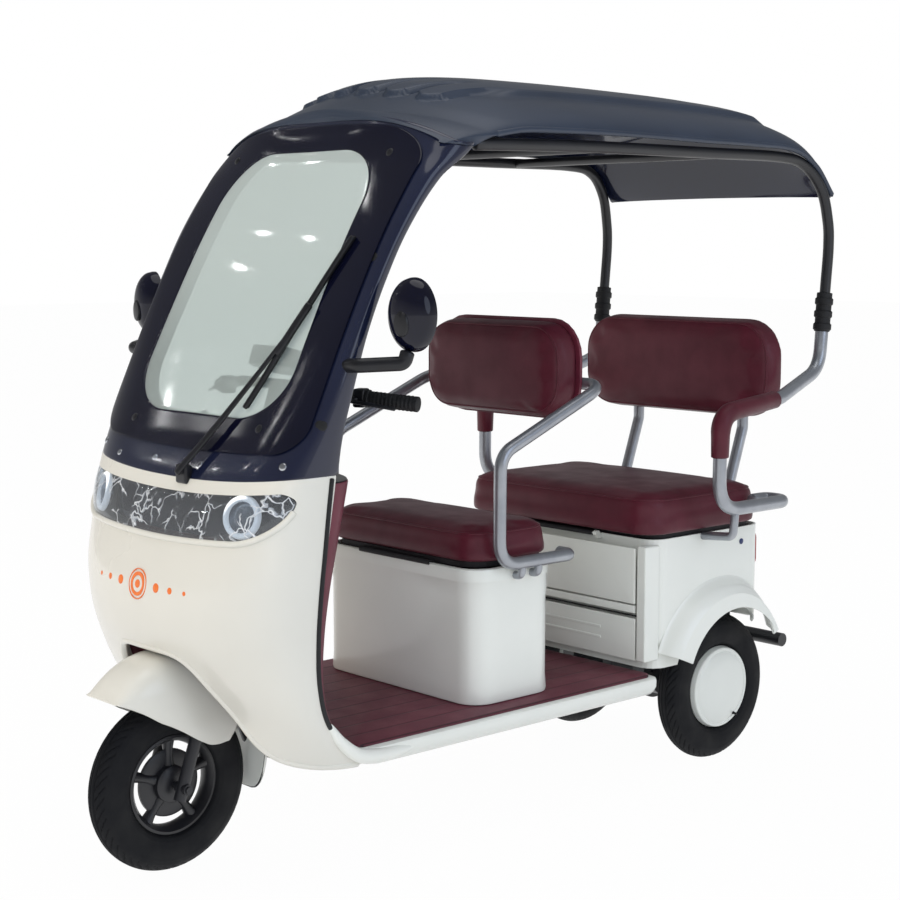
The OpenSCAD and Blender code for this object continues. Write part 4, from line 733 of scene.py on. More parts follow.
def roof():
    # Half superellipse across at each station, between the rows' centre and edge; ribs are lifted off it
    k = roofLooks
    a = np.linspace(-1, 1, 201)
    spans = ((0.04, 0.3, 90), (0.3, 0.84, 70), (0.84, 1, 50))
    s = np.unique(np.concatenate([np.linspace(*span) for span in spans]))[:, None]
    lift = np.clip(np.cos(np.pi / 2 * a), 0, 1) ** (2 / k["power"])
    spread = np.sign(a) * np.abs(np.sin(np.pi / 2 * a)) ** (2 / k["power"])
    midY, midZ, edgeY, edgeZ, half = (smoothRows(roofRows, s, column) for column in range(1, 6))
    x, y, z = half * spread, edgeY + (midY - edgeY) * lift, edgeZ + (midZ - edgeZ) * lift
    base = np.stack(np.broadcast_arrays(x, y, z), -1)
    normal = gridNormals(base)
    normal = np.where(normal[..., 2:].mean() < 0, -normal, normal)
    outer = base + np.array([0, 0, 1.0]) * ribLift(x, s)[..., None]
    inner = base - normal * k["wallT"]
    inner[..., 0] = np.clip(inner[..., 0], -365, 365)
    frontX = 370 * spread
    frontZ = cowlEdge(frontX) + 0.5
    lead = [noseOn(frontX, frontZ, out) for out in (3.0, -18.0)]  # starts on the cowl's edge
    u = np.linspace(0, 1, 8)[:-1, None, None]
    outer = np.concatenate([lead[0] + (outer[0] - lead[0]) * u + [0, 0, 3] * np.sin(np.pi * u), outer])
    inner = np.concatenate([lead[1] + (inner[0] - lead[1]) * u, inner])
    parts = wall(outer, inner)
    for j in (0, -1):
        parts.append(sweep(outer[8:, j] + [(5 if j == 0 else -5), 0, 2], 6.5, 14))
    piece("roof_skin", parts, "navy_roof", swaps=("canopy_roof",))
    shadeSheet = inner[8::2, ::2] * [0.993, 1, 1] + [0, 0, -1.2]  # darker sheet under the skin: painted shade on the roof's underside
    piece("roof_shade_sheet", wall(shadeSheet, shadeSheet - [0, 0, 2.0]), "navy_cowl")


roof()
print("roof made", flush=True)

rearAxleY = 688
post = dict(x=368, footY=917, footZ=1057, topY=936, topZ=1262)
lean = unit(np.array([0, post["topY"] - post["footY"], post["topZ"] - post["footZ"]], float))
postFoot = np.array([post["x"], post["footY"], post["footZ"]], float)
# Tubes on both sides: name, look, bend (0 for one flowing curve), radius, nodes it stands for, points
tubeTable = [
    ("roof_tube", "black_steel", 0, 13, ("roof_frame",), [
        postFoot + lean * 45.5, [368, 929, 1180], [368, 936, 1262], [367, 932, 1325], [362, 909, 1402], [352, 852, 1458],
        [348, 760, 1475], [348, 500, 1476], [348, 100, 1476], [348, -228, 1470]]),
    ("rear_rail", "silver_tube", 74, 16, ("rear_rails",), [
        postFoot + lean * 44.7, postFoot - lean * 92, [395, 720, 905], [395, 502, 880], [395, 500, 655], [395, 752, 655],
        [336, 752, 655], [336, 700, 655]]),
    ("rear_rail_foot", "silver_tube", 18, 10, (), [[395, 560, 650], [390, 560, 588], [300.5, 560, 580]]),
    ("front_rail", "silver_tube", 56, 14, ("front_seat_rails",), [
        [106, 223, 956], [286, 223, 956], [286, -95, 824], [286, -98, 585], [286, 122, 585], [250, 122, 585]]),
    ("front_rail_foot_a", "silver_tube", 18, 9, (), [[286, -30, 585], [286, -30, 555], [250.4, -30, 555]]),
    ("front_rail_foot_b", "silver_tube", 18, 9, (), [[286, 20, 585], [286, 20, 555], [250.4, 20, 555]]),
    ("back_post", "silver_tube", 40, 14, ("backrest_posts",), [
        [175, 858.5, 998], [175, 858.5, 808], [175, 804.6, 656], [175, 804.6, 476]]),
    ("mirror_arm", "black_plastic", 18, 14, ("mirror_arms",), [
        [352, -572, 1040], [392, -570, 1042], [450, -505, 1046], [453, -500, 1066]]),
]
for name, look, bend, radius, swaps, points in tubeTable:
    points = np.array([np.asarray(p, float) for p in points])
    path = curve(points, 140) if bend == 0 else bendPath(points, bend)
    for side in sides:
        piece(f"{name}_{tag(side)}", [sweep(path * [side, 1, 1], radius, 28)], look, swaps=swaps)
crossTable = [(175, 858.5, 988, "silver_tube"), (348, 149, 1476, "black_steel"), (348, 560, 1476, "black_steel")]
for n, (x, y, z, look) in enumerate(crossTable):
    line = np.stack([np.linspace(-x, x, 12), np.full(12, float(y)), np.full(12, float(z))], -1)
    piece(f"cross_tube_{n}", [sweep(line, 11, 24)], look)

ribs = []
for side in sides:
    # Sleeve whose radius swells three times along its length
    s = np.linspace(0, 93, 120)
    radius = 20.5 + 1.6 * np.clip(np.sin(2 * np.pi * s / 31 - 0.6), -0.3, 0.3) / 0.3
    path = (postFoot + lean * s[:, None]) * [side, 1, 1]
    ribs.append(sweep(path, radius, 36, cap=0.12))
piece("sleeve_ribs", ribs, "black_rubber", swaps=("post_sleeves",))
print("tubes made", flush=True)

tyreLow, tyreHigh = nodeBox("front_tyre")
rearLow, rearHigh = nodeBox("rear_tyre_left")
wheelLooks = dict(radius=(tyreHigh[2] - tyreLow[2]) / 2, width=68, rim=103, frontY=(tyreLow[1] + tyreHigh[1]) / 2,
                  track=(rearLow[0] + rearHigh[0]) / 2, grooveMm=2.6)


def tyre(name, x, y, body):
    # Round section turned about the axle; grooves run round it and slant across its shoulders
    k = wheelLooks
    r, half, bead = k["radius"], k["width"] / 2, k["rim"]
    flank = [(bead, half - 14), (bead + 8, half - 5), (bead + 30, half), (r - 22, half - 4), (r - 8, half - 14), (r - 2, 10)]
    section = [(radius, -out) for radius, out in flank] + [(r, 0)] + flank[::-1]
    profile = curve(section, 121)
    angle = np.linspace(0, 2 * np.pi, 361)
    rr, w = profile[:, 0, None] * np.ones(361), profile[:, 1, None] * np.ones(361)
    band = ease((rr - (r - 17)) / 3)
    groove = sum(np.exp(-((w - c) / 1.4) ** 2) for c in (-9, 0, 9)) * band
    slant = (ease(np.cos(48 * (angle + 0.012 * np.abs(w))) * 4 - 2.6) * ease((np.abs(w) - 7) / 3)) * band
    rr = rr - k["grooveMm"] * np.clip(groove + slant, 0, 1)
    high = profile[:, 0, None]
    lines = np.exp(-((high - (r - 26)) / 1.0) ** 2) + np.exp(-((high - (bead + 14)) / 1.2) ** 2)
    w = w + np.sign(w) * 0.7 * lines
    grid = np.stack([x + w, y + rr * np.cos(angle), r + rr * np.sin(angle)], -1)
    inside = [(bead, half - 14), (bead, half - 20), (r - 18, half - 12)]
    inner = curve(inside + [(r - 14, 0)] + [(radius, -out) for radius, out in inside[::-1]], 40)
    hollow = np.stack([x + inner[:, 1, None] + 0 * angle, y + inner[:, 0, None] * np.cos(angle),
                       r + inner[:, 0, None] * np.sin(angle)], -1)
    piece(name + "_tread", [grid, hollow], "tyre_rubber", body, swaps=(name,))


rearNames = {1: "left", -1: "right"}
tyre("front_tyre", 0, wheelLooks["frontY"], "front_wheel")
for side, name in rearNames.items():
    tyre("rear_tyre_" + name, side * wheelLooks["track"], rearAxleY, "rear_wheel_" + name)


def rearWheels():
    # Domed cap, rim and hub in one turned profile, with a valve near the rim
    k = wheelLooks
    half = k["width"] / 2
    dish = [(0, half + 13), (30, half + 12.5), (62, half + 10), (82, half + 5), (90, half + 1), (93, half + 2.5),
            (98, half + 1), (100, half - 6), (101, half - 14), (92, half - 18)]
    back = [(92, -half + 20), (102, -half + 14), (94, -half + 14), (86, -half + 22), (40, -half + 22), (40, -half + 6),
            (0, -half + 6)]
    profile = np.concatenate([curve(dish, 60), back])
    stem = [(0, 14), (3, 13), (3.4, 4), (4.6, 3), (4.6, -4), (0, -4)]
    a = math.radians(-58)
    for side, name in rearNames.items():
        grid = lathe(profile, (side * k["track"], rearAxleY, k["radius"]), (side, 0, 0), 120)
        piece("hubcap_" + name, [grid], "white_paint", "rear_wheel_" + name, swaps=("rear_rim_" + name,))
        place = np.array([side * (k["track"] + half + 1), rearAxleY + 84 * math.cos(a), k["radius"] + 84 * math.sin(a)])
        piece("valve_" + name, [lathe(stem, place, (side, 0.15, -0.2), 24)], "black_rubber", "rear_wheel_" + name)


rearWheels()


def frontWheel():
    # Turned barrel, hub and web, and five oval spokes that are thinnest at their middle
    k = wheelLooks
    half, c = k["width"] / 2, np.array([0, k["frontY"], k["radius"]])
    barrel = [(102.6, -half + 12), (103, -half + 18), (94, -half + 24), (92, 0), (94, half - 24), (103, half - 18),
              (102.6, half - 12), (97, half - 11), (88, half - 22), (86, 0), (88, -half + 22), (97, -half + 11),
              (102.6, -half + 12)]
    hub = [(7.1, -26), (30, -26), (38, -20), (39, 0), (38, 20), (30, 26), (7.1, 26), (7.1, -26)]
    web = [(36, -7), (64, -6), (70, -3), (70, 3), (64, 6), (36, 7), (36, -7)]
    parts = [lathe(profile, c, (1, 0, 0), count) for profile, count in ((barrel, 120), (hub, 64), (web, 64))]
    s = np.linspace(34, 90, 14)
    for a in 2 * np.pi * np.arange(5) / 5 + 0.3:
        path = c + s[:, None] * np.array([0, math.cos(a), math.sin(a)])
        parts.append(sweep(path, 15 - 4 * np.sin(np.pi * (s - 34) / 56), 24, flat=0.9))
    piece("front_wheel_spokes", parts, "black_steel", "front_wheel", swaps=("front_rim",))


frontWheel()
print("wheels made", flush=True)

guardLooks = dict(radius=275, start=53, end=113, skirt=24, droop=26, power=0.6, wallT=4)
# angle from the front, lower edge, half width
guardRows = [[53, 246, 60], [59, 208, 72], [68, 162, 82], [90, 116, 89], [113, 101, 90], [128, 110, 88], [140, 136, 84]]


def frontGuard():
    # Crown bends down to the nose of the guard; each section is a quarter superellipse either side
    k, w = guardLooks, wheelLooks
    t = np.linspace(-1, 1, 81)
    a = k["start"] + (k["end"] + k["skirt"] * t ** 2 - k["start"]) * np.linspace(0, 1, 80)[:, None]
    crown = k["radius"] - k["droop"] * (np.clip(85 - a, 0, None) / 32) ** 2
    low, half = smoothRows(guardRows, a, 1), smoothRows(guardRows, a, 2)
    layers = []
    for inset in (0, k["wallT"]):
        r = low + (crown - inset - low) * np.clip(np.cos(np.pi / 2 * t), 0, 1) ** k["power"]
        x = (half - inset) * np.sign(t) * np.abs(np.sin(np.pi / 2 * t)) ** k["power"]
        y, z = w["frontY"] - r * np.cos(np.radians(a)), w["radius"] + r * np.sin(np.radians(a))
        layers.append(np.stack([x, y, z], -1))
    piece("front_guard_skin", wall(*layers), "cream_paint", "steering", swaps=("front_guard",))


frontGuard()

flapLooks = dict(behind=190, top=250, drop=113, wide=74, tip=22, wallT=7, edge=3)


def mudFlap():
    # Flat sheet on the front cross tube, behind the wheel; its half width falls as a quarter ellipse to the tip
    k = flapLooks
    v, t = np.linspace(0, 1, 40)[:, None], np.linspace(-1, 1, 31)
    half = k["tip"] + (k["wide"] - k["tip"]) * np.sqrt(1 - v ** 2)
    y = wheelLooks["frontY"] + k["behind"]
    z = k["top"] - k["drop"] * v
    layers = [np.stack(np.broadcast_arrays(half * t, y + d, z), -1) for d in (0, k["wallT"])]
    piece("mud_flap", wall(layers[1], layers[0]), "white_paint")
    edge = np.concatenate([layers[0][:, 0], layers[0][-1, 1:-1], layers[0][::-1, -1]]) + [0, k["edge"], 0]
    piece("mud_flap_edge", [sweep(edge, k["edge"], 10)], "black_rubber")


mudFlap()

# angle from the rear, outer radius
fenderRows = [[34, 196], [45, 206], [60, 223], [75, 237], [98, 246], [120, 250], [157, 252]]
fenderLooks = dict(root=300.4, reach=345.0, opening=182.0, wallT=4, centreY=645, centreZ=219)


def rearFenders():
    # Section from the body's side over a round crown to the wheel opening, carried round the arch
    k = fenderLooks
    a = np.linspace(34, 157, 90)
    far = smoothRows(fenderRows, a, 1)
    layers = []
    for wallT in (0, k["wallT"]):
        edge = k["reach"] - wallT
        points = [(k["root"], far + 10 - wallT), (306.0 - wallT, far + 3 - wallT), (328.0 - wallT, far - 8 - wallT),
                  (342.0 - wallT, far - 24), (edge, (far + 180) / 2), (edge, k["opening"])]  # distance out, radius
        section = np.stack([np.stack([x + 0 * far, r + 0 * far], -1) for x, r in points], 1)
        line = np.stack([curve(section[i], 40) for i in range(90)])
        y = k["centreY"] + line[..., 1] * np.cos(np.radians(a))[:, None]
        z = k["centreZ"] + line[..., 1] * np.sin(np.radians(a))[:, None]
        layers.append(np.stack([np.maximum(line[..., 0], k["root"]), y, z], -1))
    for side in sides:
        outer, inner = (grid * [side, 1, 1] for grid in layers)
        piece("fender_" + tag(side), wall(outer, inner), "white_paint", swaps=("rear_guards",))


rearFenders()
print("guards made", flush=True)


# line of the bead that leads from the shell to the sill
sillCorner = [[338, -603, 338], [337, -572, 298], [335, -530, 266], [332, -480, 254], [327, -420, 252], [322, -380, 252]]


def floor():
    # Sill with round edges under a planked mat, and a tongue under the shell
    low, high = nodeBox("floor_pan")
    half, mid = (high - low) / 2, (high + low) / 2
    profile = [(half[0], -11), (24, -11), (12, -8), (5, -1), (0.5, 9), (0, 18), (0, 24), (2, 28.5), (6, 30), (half[0], 30)]
    wide = low[1] + 52
    grid = pad(half[0], (high[1] - wide) / 2, 30, profile) + [mid[0], (high[1] + wide) / 2, low[2]]
    under = profile[:2] + [(0, 4), (0, 26), (4, 29.5), (half[0], 29.5)]
    tongue = pad(half[0] - 15, 40, 12, under) + [mid[0], low[1] + 40, low[2]]
    bead = 5 + 10 * np.sin(np.pi * np.linspace(0.03, 0.97, 60)) ** 0.8
    corners = [sweep(curve(sillCorner, 60) * [side, 1, 1], bead, 20) for side in sides]
    piece("floor_sill", [grid, tongue] + corners, "white_paint", swaps=("floor_pan",))
    low, high = nodeBox("floor_mat")
    half, mid = (high - low) / 2, (high + low) / 2
    profile = [(half[0], 0), (0, 0), (0, 3.6), (1.2, 5.2), (3, 5.7), (half[0], 5.7)]
    mat = pad(half[0], half[1], 24, profile) + [mid[0], mid[1], low[2]]
    piece("plank_mat", [mat], "maroon_planks", swaps=("floor_mat",))


floor()


seatBoxLooks = dict(half=263, halfD=127, corner=58, top=576.0, middle=127, floor=122)


def seatBox():
    # Box with a shallow waist and a lip round its open top
    k = seatBoxLooks
    low, high = nodeBox("front_seat_box")
    h = k["top"] - low[2]
    profile = [(k["floor"], 0), (6, 0), (2, 2), (0.5, 8), (3, 40), (2.6, h - 84), (0.6, h - 66), (0.2, h - 34), (-2, h - 30),
               (-2.6, h - 26), (-2.6, h - 6), (-1, h - 2), (3, h), (9, h), (9, h - 30), (k["floor"], h - 30)]
    grid = pad(k["half"], k["halfD"], k["corner"], profile) + [0, high[1] - k["middle"], low[2]]
    piece("seat_box_skin", [grid], "white_paint", swaps=("front_seat_box",))


seatBox()


upright = np.array([[1, 0, 0], [0, 0, -1], [0, 1, 0]], float)  # turns a flat piece to face forwards
rearLooks = dict(half=268, doorHalf=66, doorZ=502, sillZ=424, seamZ=408, plateZ=352, plateHalf=50, grooves=(342, 367),
                 stripX=287, stripZ=438, lock=(300.5, 704, 550))


def rearFront():
    # Moulded front of the rear body: an upper door, a dark seam, a lower plate with two ribs, and corner strips
    k = rearLooks
    face = min(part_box("rear_body")[0].y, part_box("access_panel")[1].y) * 1000
    door = boxFaces(k["half"], k["doorHalf"], 4, 3, (0, 0, 0)) @ upright.T
    piece("rear_door", [door + [0, face - 4.5, k["doorZ"]]], "white_paint", swaps=("access_panel",))
    piece("rear_door_sill", [boxFaces(k["half"], 4, 9, 2, (0, face - 4.5, k["sillZ"]))], "white_paint")
    piece("rear_seam", [boxFaces(k["half"] + 2, 1.5, 2, 0.8, (0, face - 1.2, k["seamZ"]))], "black_rubber")
    piece("rear_plate", [boxFaces(k["half"], 2.5, k["plateHalf"], 1.5, (0, face - 2.8, k["plateZ"]))], "white_paint")
    for z in k["grooves"]:
        piece(f"rear_groove_{z}", [boxFaces(160, 1.2, 3.2, 0.8, (0, face - 5.6, z))], "white_paint")
    barrel = [(0, 2.4), (5, 2.2), (7, 1), (7, -1), (0, -1)]
    for side in sides:
        strip = boxFaces(14, 25, 136, 4, (side * k["stripX"], face + 18, k["stripZ"]))
        piece("corner_strip_" + tag(side), [strip], "white_paint")
        lock = lathe(barrel, np.array(k["lock"]) * [side, 1, 1], (side, 0, 0), 32)
        piece("side_lock_" + tag(side), [lock], "blue_lock")


rearFront()


shieldLooks = dict(low=276.3, high=812, bow=40, bowGain=72, inset=7, power=0.8, wallT=5)


def shieldSkin():
    # Moulded maroon shield behind the shell: bows back at the middle, more towards its top
    k = shieldLooks
    t = np.linspace(-1, 1, 81)
    z = np.linspace(k["low"], k["high"], 50)[:, None]
    bow = k["bow"] + k["bowGain"] * (z - 276) / 536
    layers = []
    for depth in (0, k["wallT"]):
        x = (smoothRows(noseRows, z, 3) - k["inset"]) * np.sign(t) * np.abs(np.sin(np.pi / 2 * t)) ** k["power"]
        arch = np.clip(np.cos(np.pi / 2 * t), 0, 1) ** k["power"]
        y = smoothRows(noseRows, z, 2) - 5 + (bow + depth) * arch + depth
        layers.append(np.stack(np.broadcast_arrays(x, y, z), -1))
    piece("shield_skin", wall(layers[1], layers[0]), "maroon_plastic", swaps=("inner_shield",))


shieldSkin()
print("floor made", flush=True)


blowLooks = dict(voxel=0.006, pressure=4.0, stiffness=20.0, frames=20)


def inflate(made, cap, pinned):
    # Blows the piece up as cloth under pressure; points where pinned() is true stay, and no point moves past the cap
    k = blowLooks
    bpy.context.view_layer.objects.active = made
    mod = made.modifiers.new("even", "REMESH")
    mod.mode, mod.voxel_size, mod.use_smooth_shade = "VOXEL", k["voxel"], True
    with bpy.context.temp_override(object=made, active_object=made):
        bpy.ops.object.modifier_apply(modifier="even")
    mesh = made.data
    count = len(mesh.vertices)
    rest = np.empty(count * 3, np.float32)
    mesh.vertices.foreach_get("co", rest)
    rest = rest.reshape(-1, 3)
    group = made.vertex_groups.new(name="held")
    group.add(np.nonzero(pinned(rest * 1000))[0].tolist(), 1.0, "REPLACE")
    cloth = made.modifiers.new("cloth", "CLOTH")
    cloth.settings.use_pressure = True
    cloth.settings.uniform_pressure_force = k["pressure"]
    cloth.settings.effector_weights.gravity = 0.0
    cloth.settings.vertex_group_mass = "held"
    cloth.settings.tension_stiffness = cloth.settings.compression_stiffness = k["stiffness"]
    cloth.point_cache.frame_start, cloth.point_cache.frame_end = 1, k["frames"]
    for number in range(1, k["frames"] + 1):
        scene.frame_set(number)
    shape = made.evaluated_get(bpy.context.evaluated_depsgraph_get()).data
    blown = np.empty(count * 3, np.float32)
    shape.vertices.foreach_get("co", blown)
    move = blown.reshape(-1, 3) - rest
    far = np.linalg.norm(move, axis=1, keepdims=True)
    move *= np.minimum(1, cap * mm / np.maximum(far, 1e-9))
    made.modifiers.remove(cloth)
    scene.frame_set(1)
    mesh.vertices.foreach_set("co", (rest + move).ravel())
    mesh.update()


def cushion(name, node, half, halfD, r, height, edge, crown, cap, place, stands, fill, inset):
    # Soft block on its board or back plate, blown up a little, with a welt sewn round its face
    grid = pad(half - inset, halfD - inset, r - inset, softProfile(height, edge, halfD - inset), crown)
    turn = upright if stands else np.eye(3)
    body = {"front_seat_cushion": "front_seat_lid", "rear_seat_cushion": "rear_seat_lid"}.get(node, "chassis")
    made = piece(name, [grid @ turn.T + place], "maroon_vinyl", body, swaps=(node,))
    depth = (lambda p: place[1] - p[:, 1]) if stands else (lambda p: p[:, 2] - place[2])
    inflate(made, cap, lambda p: depth(p) < 0.35 * height)
    taut = made.modifiers.new("taut", "SMOOTH")
    taut.factor, taut.iterations = 0.5, 10
    made.data.polygons.foreach_set("use_smooth", np.ones(len(made.data.polygons), bool))
    smooth = made.modifiers.new("fine", "SUBSURF")
    smooth.levels = smooth.render_levels = 1
    loop = outline(half - inset - edge * 0.3, halfD - inset - edge * 0.3, r - inset, 240)
    flat = np.concatenate([loop, np.full((len(loop), 1), height - edge * 0.25)], 1) @ turn.T + place
    made.data.update()
    bpy.context.view_layer.update()
    line = np.array([made.closest_point_on_mesh((p * mm).tolist())[1] for p in flat]) * 1000
    line = (np.roll(line[:-1], 1, 0) + line[:-1] + np.roll(line[:-1], -1, 0)) / 3
    line = np.concatenate([line, line[:1]])
    piece(name + "_welt", [sweep(line, 2.4, 10, cap=None)], "maroon_vinyl", body)


cushionTable = [  # name, node, half width, half depth, corner, height, edge, crown, cap, place, stands, fill, inset
    ("front_cushion", "front_seat_cushion", 264, 127, 64, 70, 22, 6, 5, (0, -23, 588.9), False, 0.8, 4),
    ("rear_cushion", "rear_seat_cushion", 320, 215, 70, 90, 26, 6, 5, (0, 560, 598.9), False, 0.8, 4),
    ("front_back_pad", "front_backrest", 230, 111, 84, 62, 24, 6, 4, (0, 200, 987), True, 0.8, 3),
    ("rear_back_pad", "rear_backrest", 312, 125, 96, 62, 24, 6, 4, (0, 844, 963), True, 0.8, 3),
]
for row in cushionTable:
    cushion(*row)
print("cushions made", flush=True)

armLooks = dict(line=[[395, 700, 902.7], [395, 502, 880], [395, 501, 782]], bend=74, radius=23.2, taper=2.5, fill=0.9)
for side in sides:
    # Foam sleeve over the armrest's bend, thinner at its ends
    path = bendPath(np.array(armLooks["line"], float) * [side, 1, 1], armLooks["bend"])
    s = np.linspace(0, 1, len(path))
    radius = armLooks["radius"] - armLooks["taper"] * (2 * s - 1) ** 6
    made = piece("armrest_" + tag(side), [sweep(path, radius, 32, cap=0.25)], "maroon_vinyl", swaps=("armrest_pads",))


mirrorLooks = dict(place=(453, -498, 1137.0), turn=12, wide=52, tall=71, footWide=17, footTall=24, footDrop=-16)


def ovals(shares, depths, wide, tall, drop=0):
    # Stack of ovals: each row has its share of the full size and its depth
    a = np.linspace(0, 2 * np.pi, 65)
    shares, depths = np.array(shares, float)[:, None], np.array(depths, float)[:, None]
    return np.stack([shares * wide * np.cos(a), depths + 0 * a, drop + shares * tall * np.sin(a)], -1)


def mirrors():
    # Oval bowl behind a flat glass, with a small oval foot on its back
    k = mirrorLooks
    u = np.linspace(0, 1, 26)
    dish = -23 + 40 * (1 - np.sqrt(np.clip(1 - u ** 2.4, 0, 1)))
    size = k["wide"], k["tall"]
    bowl = ovals([*u, 1, 0.96, 0.94, 0], [*dish, 23, 23, 20.5, 20.5], *size)
    glass = ovals([0, 0.93, 0.93, 0], [21.6, 21.2, 20.6, 20.6], *size)
    foot = ovals([0, 0.5, 0.9, 1, 1], [-27, -26.6, -25.5, -23, -14], k["footWide"], k["footTall"], k["footDrop"])
    for side in sides:
        place, turn, end = np.array(k["place"]) * [side, 1, 1], turnZ(side * k["turn"]).T, tag(side)
        piece("mirror_bowl_" + end, [bowl @ turn + place], "black_border", swaps=("mirror_heads",))
        piece("mirror_face_" + end, [glass @ turn + place], "mirror_glass", swaps=("mirror_glasses",))
        piece("mirror_foot_" + end, [foot @ turn + place], "black_plastic")


mirrors()


# places on the screen, as x and height
wiperLooks = dict(pivot=(50, 822), elbow=(214, 1094), blade=((161, 953), (279, 1284)), clip=((198, 1058), (238, 1152)))


def alongNose(a, b, out, count=24):
    # Straight line between two places, laid on the nose form at a distance
    u = np.linspace(0, 1, count)
    return noseOn(a[0] + (b[0] - a[0]) * u, a[1] + (b[1] - a[1]) * u, out)


def wiper():
    # Arm and blade follow the screen; the blade's rubber lies on it
    k = wiperLooks
    x, z = k["pivot"]
    knob = [(0, 22), (8, 21), (11, 16), (13, 4), (13, -2), (0, -2)]
    parts = [
        lathe(knob, noseOn(x, z, 2), noseOut(float(x), float(z)), 32),
        sweep(alongNose(k["pivot"], k["elbow"], 24), np.linspace(9.5, 5.5, 24), 14, flat=0.6),
        sweep(alongNose(*k["blade"], 16), 6.5, 12, flat=0.7),
        boxFaces(19, 9, 19, 5, noseOn(x, z - 4, 6)),
        sweep(alongNose(*k["clip"], 19, 8), 9.5, 16, flat=0.75),
    ]
    piece("wiper_arm", parts, "black_plastic", swaps=("wiper",))
    piece("wiper_rubber", [sweep(alongNose(*k["blade"], 10), 3.6, 10)], "black_rubber")


wiper()


barLooks = dict(root=(220, -439, 964.0), end=(340, -375, 953.0), middle=(96, -491, 982), bend=40, tube=11, grip=15.8)


def controls():
    # Bent bar with ribbed grips, and a lever on a perch beside each
    k = barLooks
    root, end = np.array(k["root"]), np.array(k["end"])
    half = np.array([end + (root - end) * 0.03, root, k["middle"]])
    bar = np.concatenate([half, half[::-1] * [-1, 1, 1]])
    piece("bar_tube", [sweep(bendPath(bar, k["bend"]), k["tube"], 24)], "black_steel", "steering", swaps=("handlebar",))
    s = np.linspace(0.2, 1, 90)
    radius = k["grip"] + 0.4 * np.sin(np.arange(90) * 0.9) * (s > 0.3) * (s < 0.95) + 2.5 * (s < 0.24)
    for side in sides:
        path = (root + (end - root) * s[:, None]) * [side, 1, 1]
        grip = sweep(path, radius, 28, cap=0.2)
        piece("grip_rubber_" + tag(side), [grip], "black_rubber", "steering", swaps=("grips",))
        perch = (root + (end - root) * 0.1) * [side, 1, 1]
        tip = (end + [-20, -44, -8]) * [side, 1, 1]
        lever = bendPath(np.array([perch, perch + [0, -34, -4], tip]), 16)
        parts = [sweep(lever, np.linspace(8, 5, len(lever)), 14, flat=0.7), boxFaces(13, 17, 19, 5, perch, turnZ(side * 28))]
        piece("lever_" + tag(side), parts, "black_plastic", "steering", swaps=("brake_levers",))


controls()
print("fittings made", flush=True)

# CAD pieces that show as they are, with the finish of each
shownLooks = {
    "main_frame": "black_steel", "dash_panel": "black_plastic", "rear_body": "white_paint", "tail_lamps": "tail_lens",
    "rear_bumper": "black_steel", "backrest_shell": "maroon_plastic", "rear_axle": "black_steel",
    "leaf_springs": "black_steel", "battery_pack": "black_plastic", "fork": "black_steel",
    "instrument_pod": "black_plastic", "front_seat_board": "black_board", "rear_seat_board": "black_board",
}
for name, look in shownLooks.items():
    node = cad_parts[name]
    node.data.materials.clear()
    node.data.materials.append(materials[look])
    node.data.polygons.foreach_set("use_smooth", np.ones(len(node.data.polygons), bool))
    node.data.set_sharp_from_angle(angle=math.radians(35))
    bevel = node.modifiers.new("edges", "BEVEL")
    bevel.width, bevel.segments = 1.2 * mm, 2
    bevel.limit_method, bevel.angle_limit = "ANGLE", math.radians(50)
print("CAD pieces finished", flush=True)


studioLooks = dict(ambient=0.68, floorWhite=0.975, spotSize=0.055, spotWatts=0.4, spotAim=(0, -0.3, 1.0),
                   lens=70.96, eye=(2.990, -2.687, 1.273), tilt=83.33, pan=47.86)
lampTable = [  # name, place, aim, size, watts, colour, seen in gloss
    ("key", (-2.4, -6.4, 4.6), (0, -0.3, 0.7), 5.0, 160, "#ffe9cc", False),
    ("fill", (7.0, 1.2, 3.6), (0, 0.1, 0.7), 5.0, 90, "#d9e7ff", True),
    ("front_fill", (3.4, -4.4, 1.9), (0, 0.2, 0.6), 3.0, 60, "#f0f5ff", False),
    ("top", (0.2, 0.4, 6.0), (0, 0.1, 0.5), 5.0, 70, "#ffffff", True),
]
# Small hall lamps far off, seen only as bright points in gloss and glass
spotPlaces = [(-5.2, -2.3, 4.6), (-4.8, -2.4, 4.6), (-5.8, -2.8, 4.6), (-5.5, -3.5, 4.0), (-5.8, -3.4, 3.95),
              (-6.0, -3.2, 3.8), (-3.7, -1.9, 4.6), (-5.4, -4.6, 2.8), (-4.8, -4.1, 4.3), (-4.3, -4.7, 4.4),
              (4.5, -4.5, 5.0), (5.5, -2.5, 5.0), (3.0, -5.5, 5.0), (6.0, 1.5, 5.0)]


def areaLamp(name, place, aim, size, watts, colour, glossy):
    # Disk lamp at a place, with its face turned to its aim
    data = bpy.data.lights.new(name, "AREA")
    data.shape, data.size, data.energy, data.color = "DISK", size, watts, linear(colour)[:3]
    lamp = bpy.data.objects.new(name, data)
    scene.collection.objects.link(lamp)
    lamp.visible_glossy = glossy
    turn = frameOf(np.array(place) - np.array(aim))
    lamp.matrix_world = Matrix([[*turn[k], place[k]] for k in range(3)] + [[0, 0, 0, 1]])


def seenRays(tree):
    # Rays by which the camera sees a surface: straight, mirrored or through glass
    path = add(tree, "LightPath").outputs
    mirrored = calc(tree, "MAXIMUM", path["Is Glossy Ray"], path["Is Transmission Ray"])
    return calc(tree, "MAXIMUM", path["Is Camera Ray"], mirrored), path["Is Glossy Ray"]


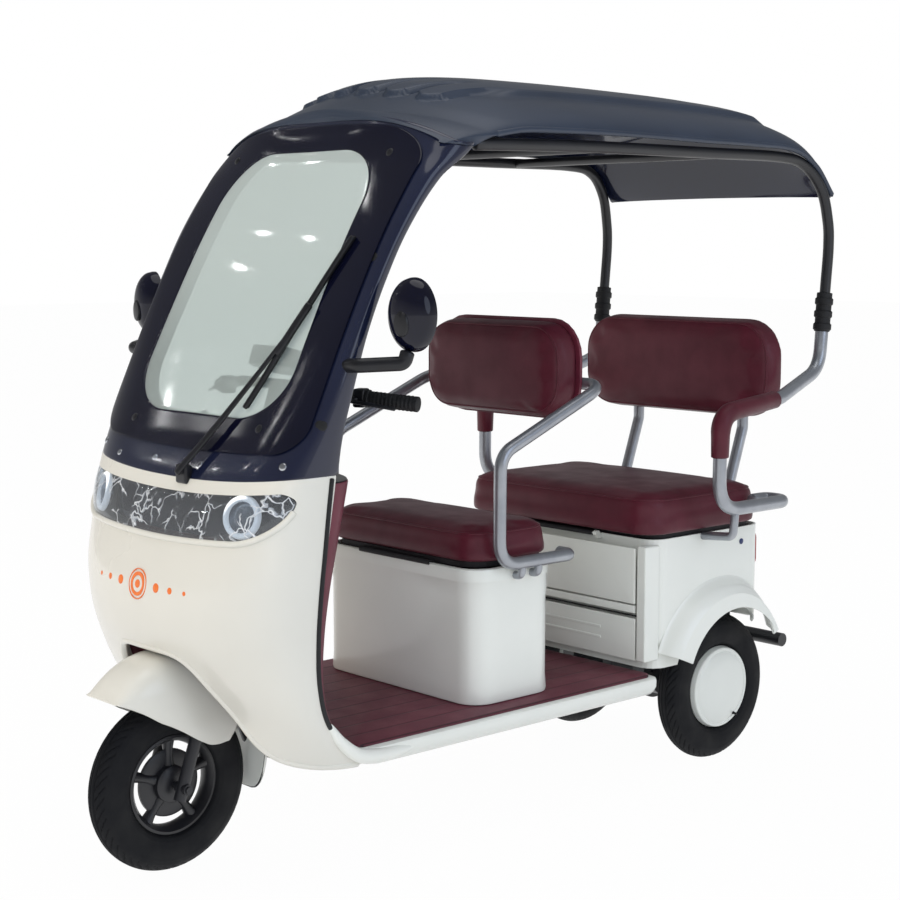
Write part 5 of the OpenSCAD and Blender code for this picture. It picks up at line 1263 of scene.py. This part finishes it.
def studio():
    # Pale floor, soft lamps and a white surround that mirrors and glass see too
    k = studioLooks
    floorMesh = bpy.data.meshes.new("studio_floor")
    floorMesh.from_pydata([(-30, -30, 0), (30, -30, 0), (30, 30, 0), (-30, 30, 0)], [], [(0, 1, 2, 3)])
    ground = bpy.data.objects.new("studio_floor", floorMesh)
    scene.collection.objects.link(ground)
    mat = bpy.data.materials.new("studio_white")
    mat.use_nodes = True
    tree = mat.node_tree
    shader = tree.nodes["Principled BSDF"]
    shader.inputs["Base Color"].default_value = (0.86, 0.86, 0.86, 1)
    shader.inputs["Roughness"].default_value = 0.9
    share = calc(tree, "MULTIPLY", seenRays(tree)[0], k["floorWhite"])
    white = add(tree, "Emission", {"Color": (1, 1, 1, 1), "Strength": 1.0}).outputs[0]
    both = add(tree, "MixShader", {0: share, 1: shader.outputs[0], 2: white}).outputs[0]
    tree.links.new(both, tree.nodes["Material Output"].inputs["Surface"])
    floorMesh.materials.append(mat)
    scene.world = bpy.data.worlds.new("studio")
    scene.world.use_nodes = True
    tree = scene.world.node_tree
    back = tree.nodes["Background"]
    seen, glossy = seenRays(tree)
    tree.links.new(mixColour(tree, seen, (0.95, 0.97, 1.0, 1), (1, 1, 1, 1)), back.inputs["Color"])
    # Gloss sees a darker hall towards the top
    up = add(tree, "SeparateXYZ", {0: add(tree, "TexCoord").outputs["Generated"]}).outputs[2]
    dim = calc(tree, "SUBTRACT", 1.0, calc(tree, "MULTIPLY", glossy, ramp(tree, up, -0.05, 0.35, 0.4, 0.8)))
    tree.links.new(calc(tree, "MULTIPLY", dim, ramp(tree, seen, 0, 1, k["ambient"], 1.0)), back.inputs["Strength"])
    for row in lampTable:
        areaLamp(*row)
    for number, place in enumerate(spotPlaces):
        areaLamp(f"spot_{number}", place, k["spotAim"], k["spotSize"], k["spotWatts"], "#ffffff", True)
    scene.view_settings.view_transform = "Standard"
    lens = bpy.data.cameras.new("camera")
    lens.lens, lens.sensor_width = k["lens"], 36
    camera = bpy.data.objects.new("camera", lens)
    scene.collection.objects.link(camera)
    camera.location = k["eye"]
    camera.rotation_euler = (math.radians(k["tilt"]), 0, math.radians(k["pan"]))
    scene.camera = camera


studio()
print("scene made", flush=True)
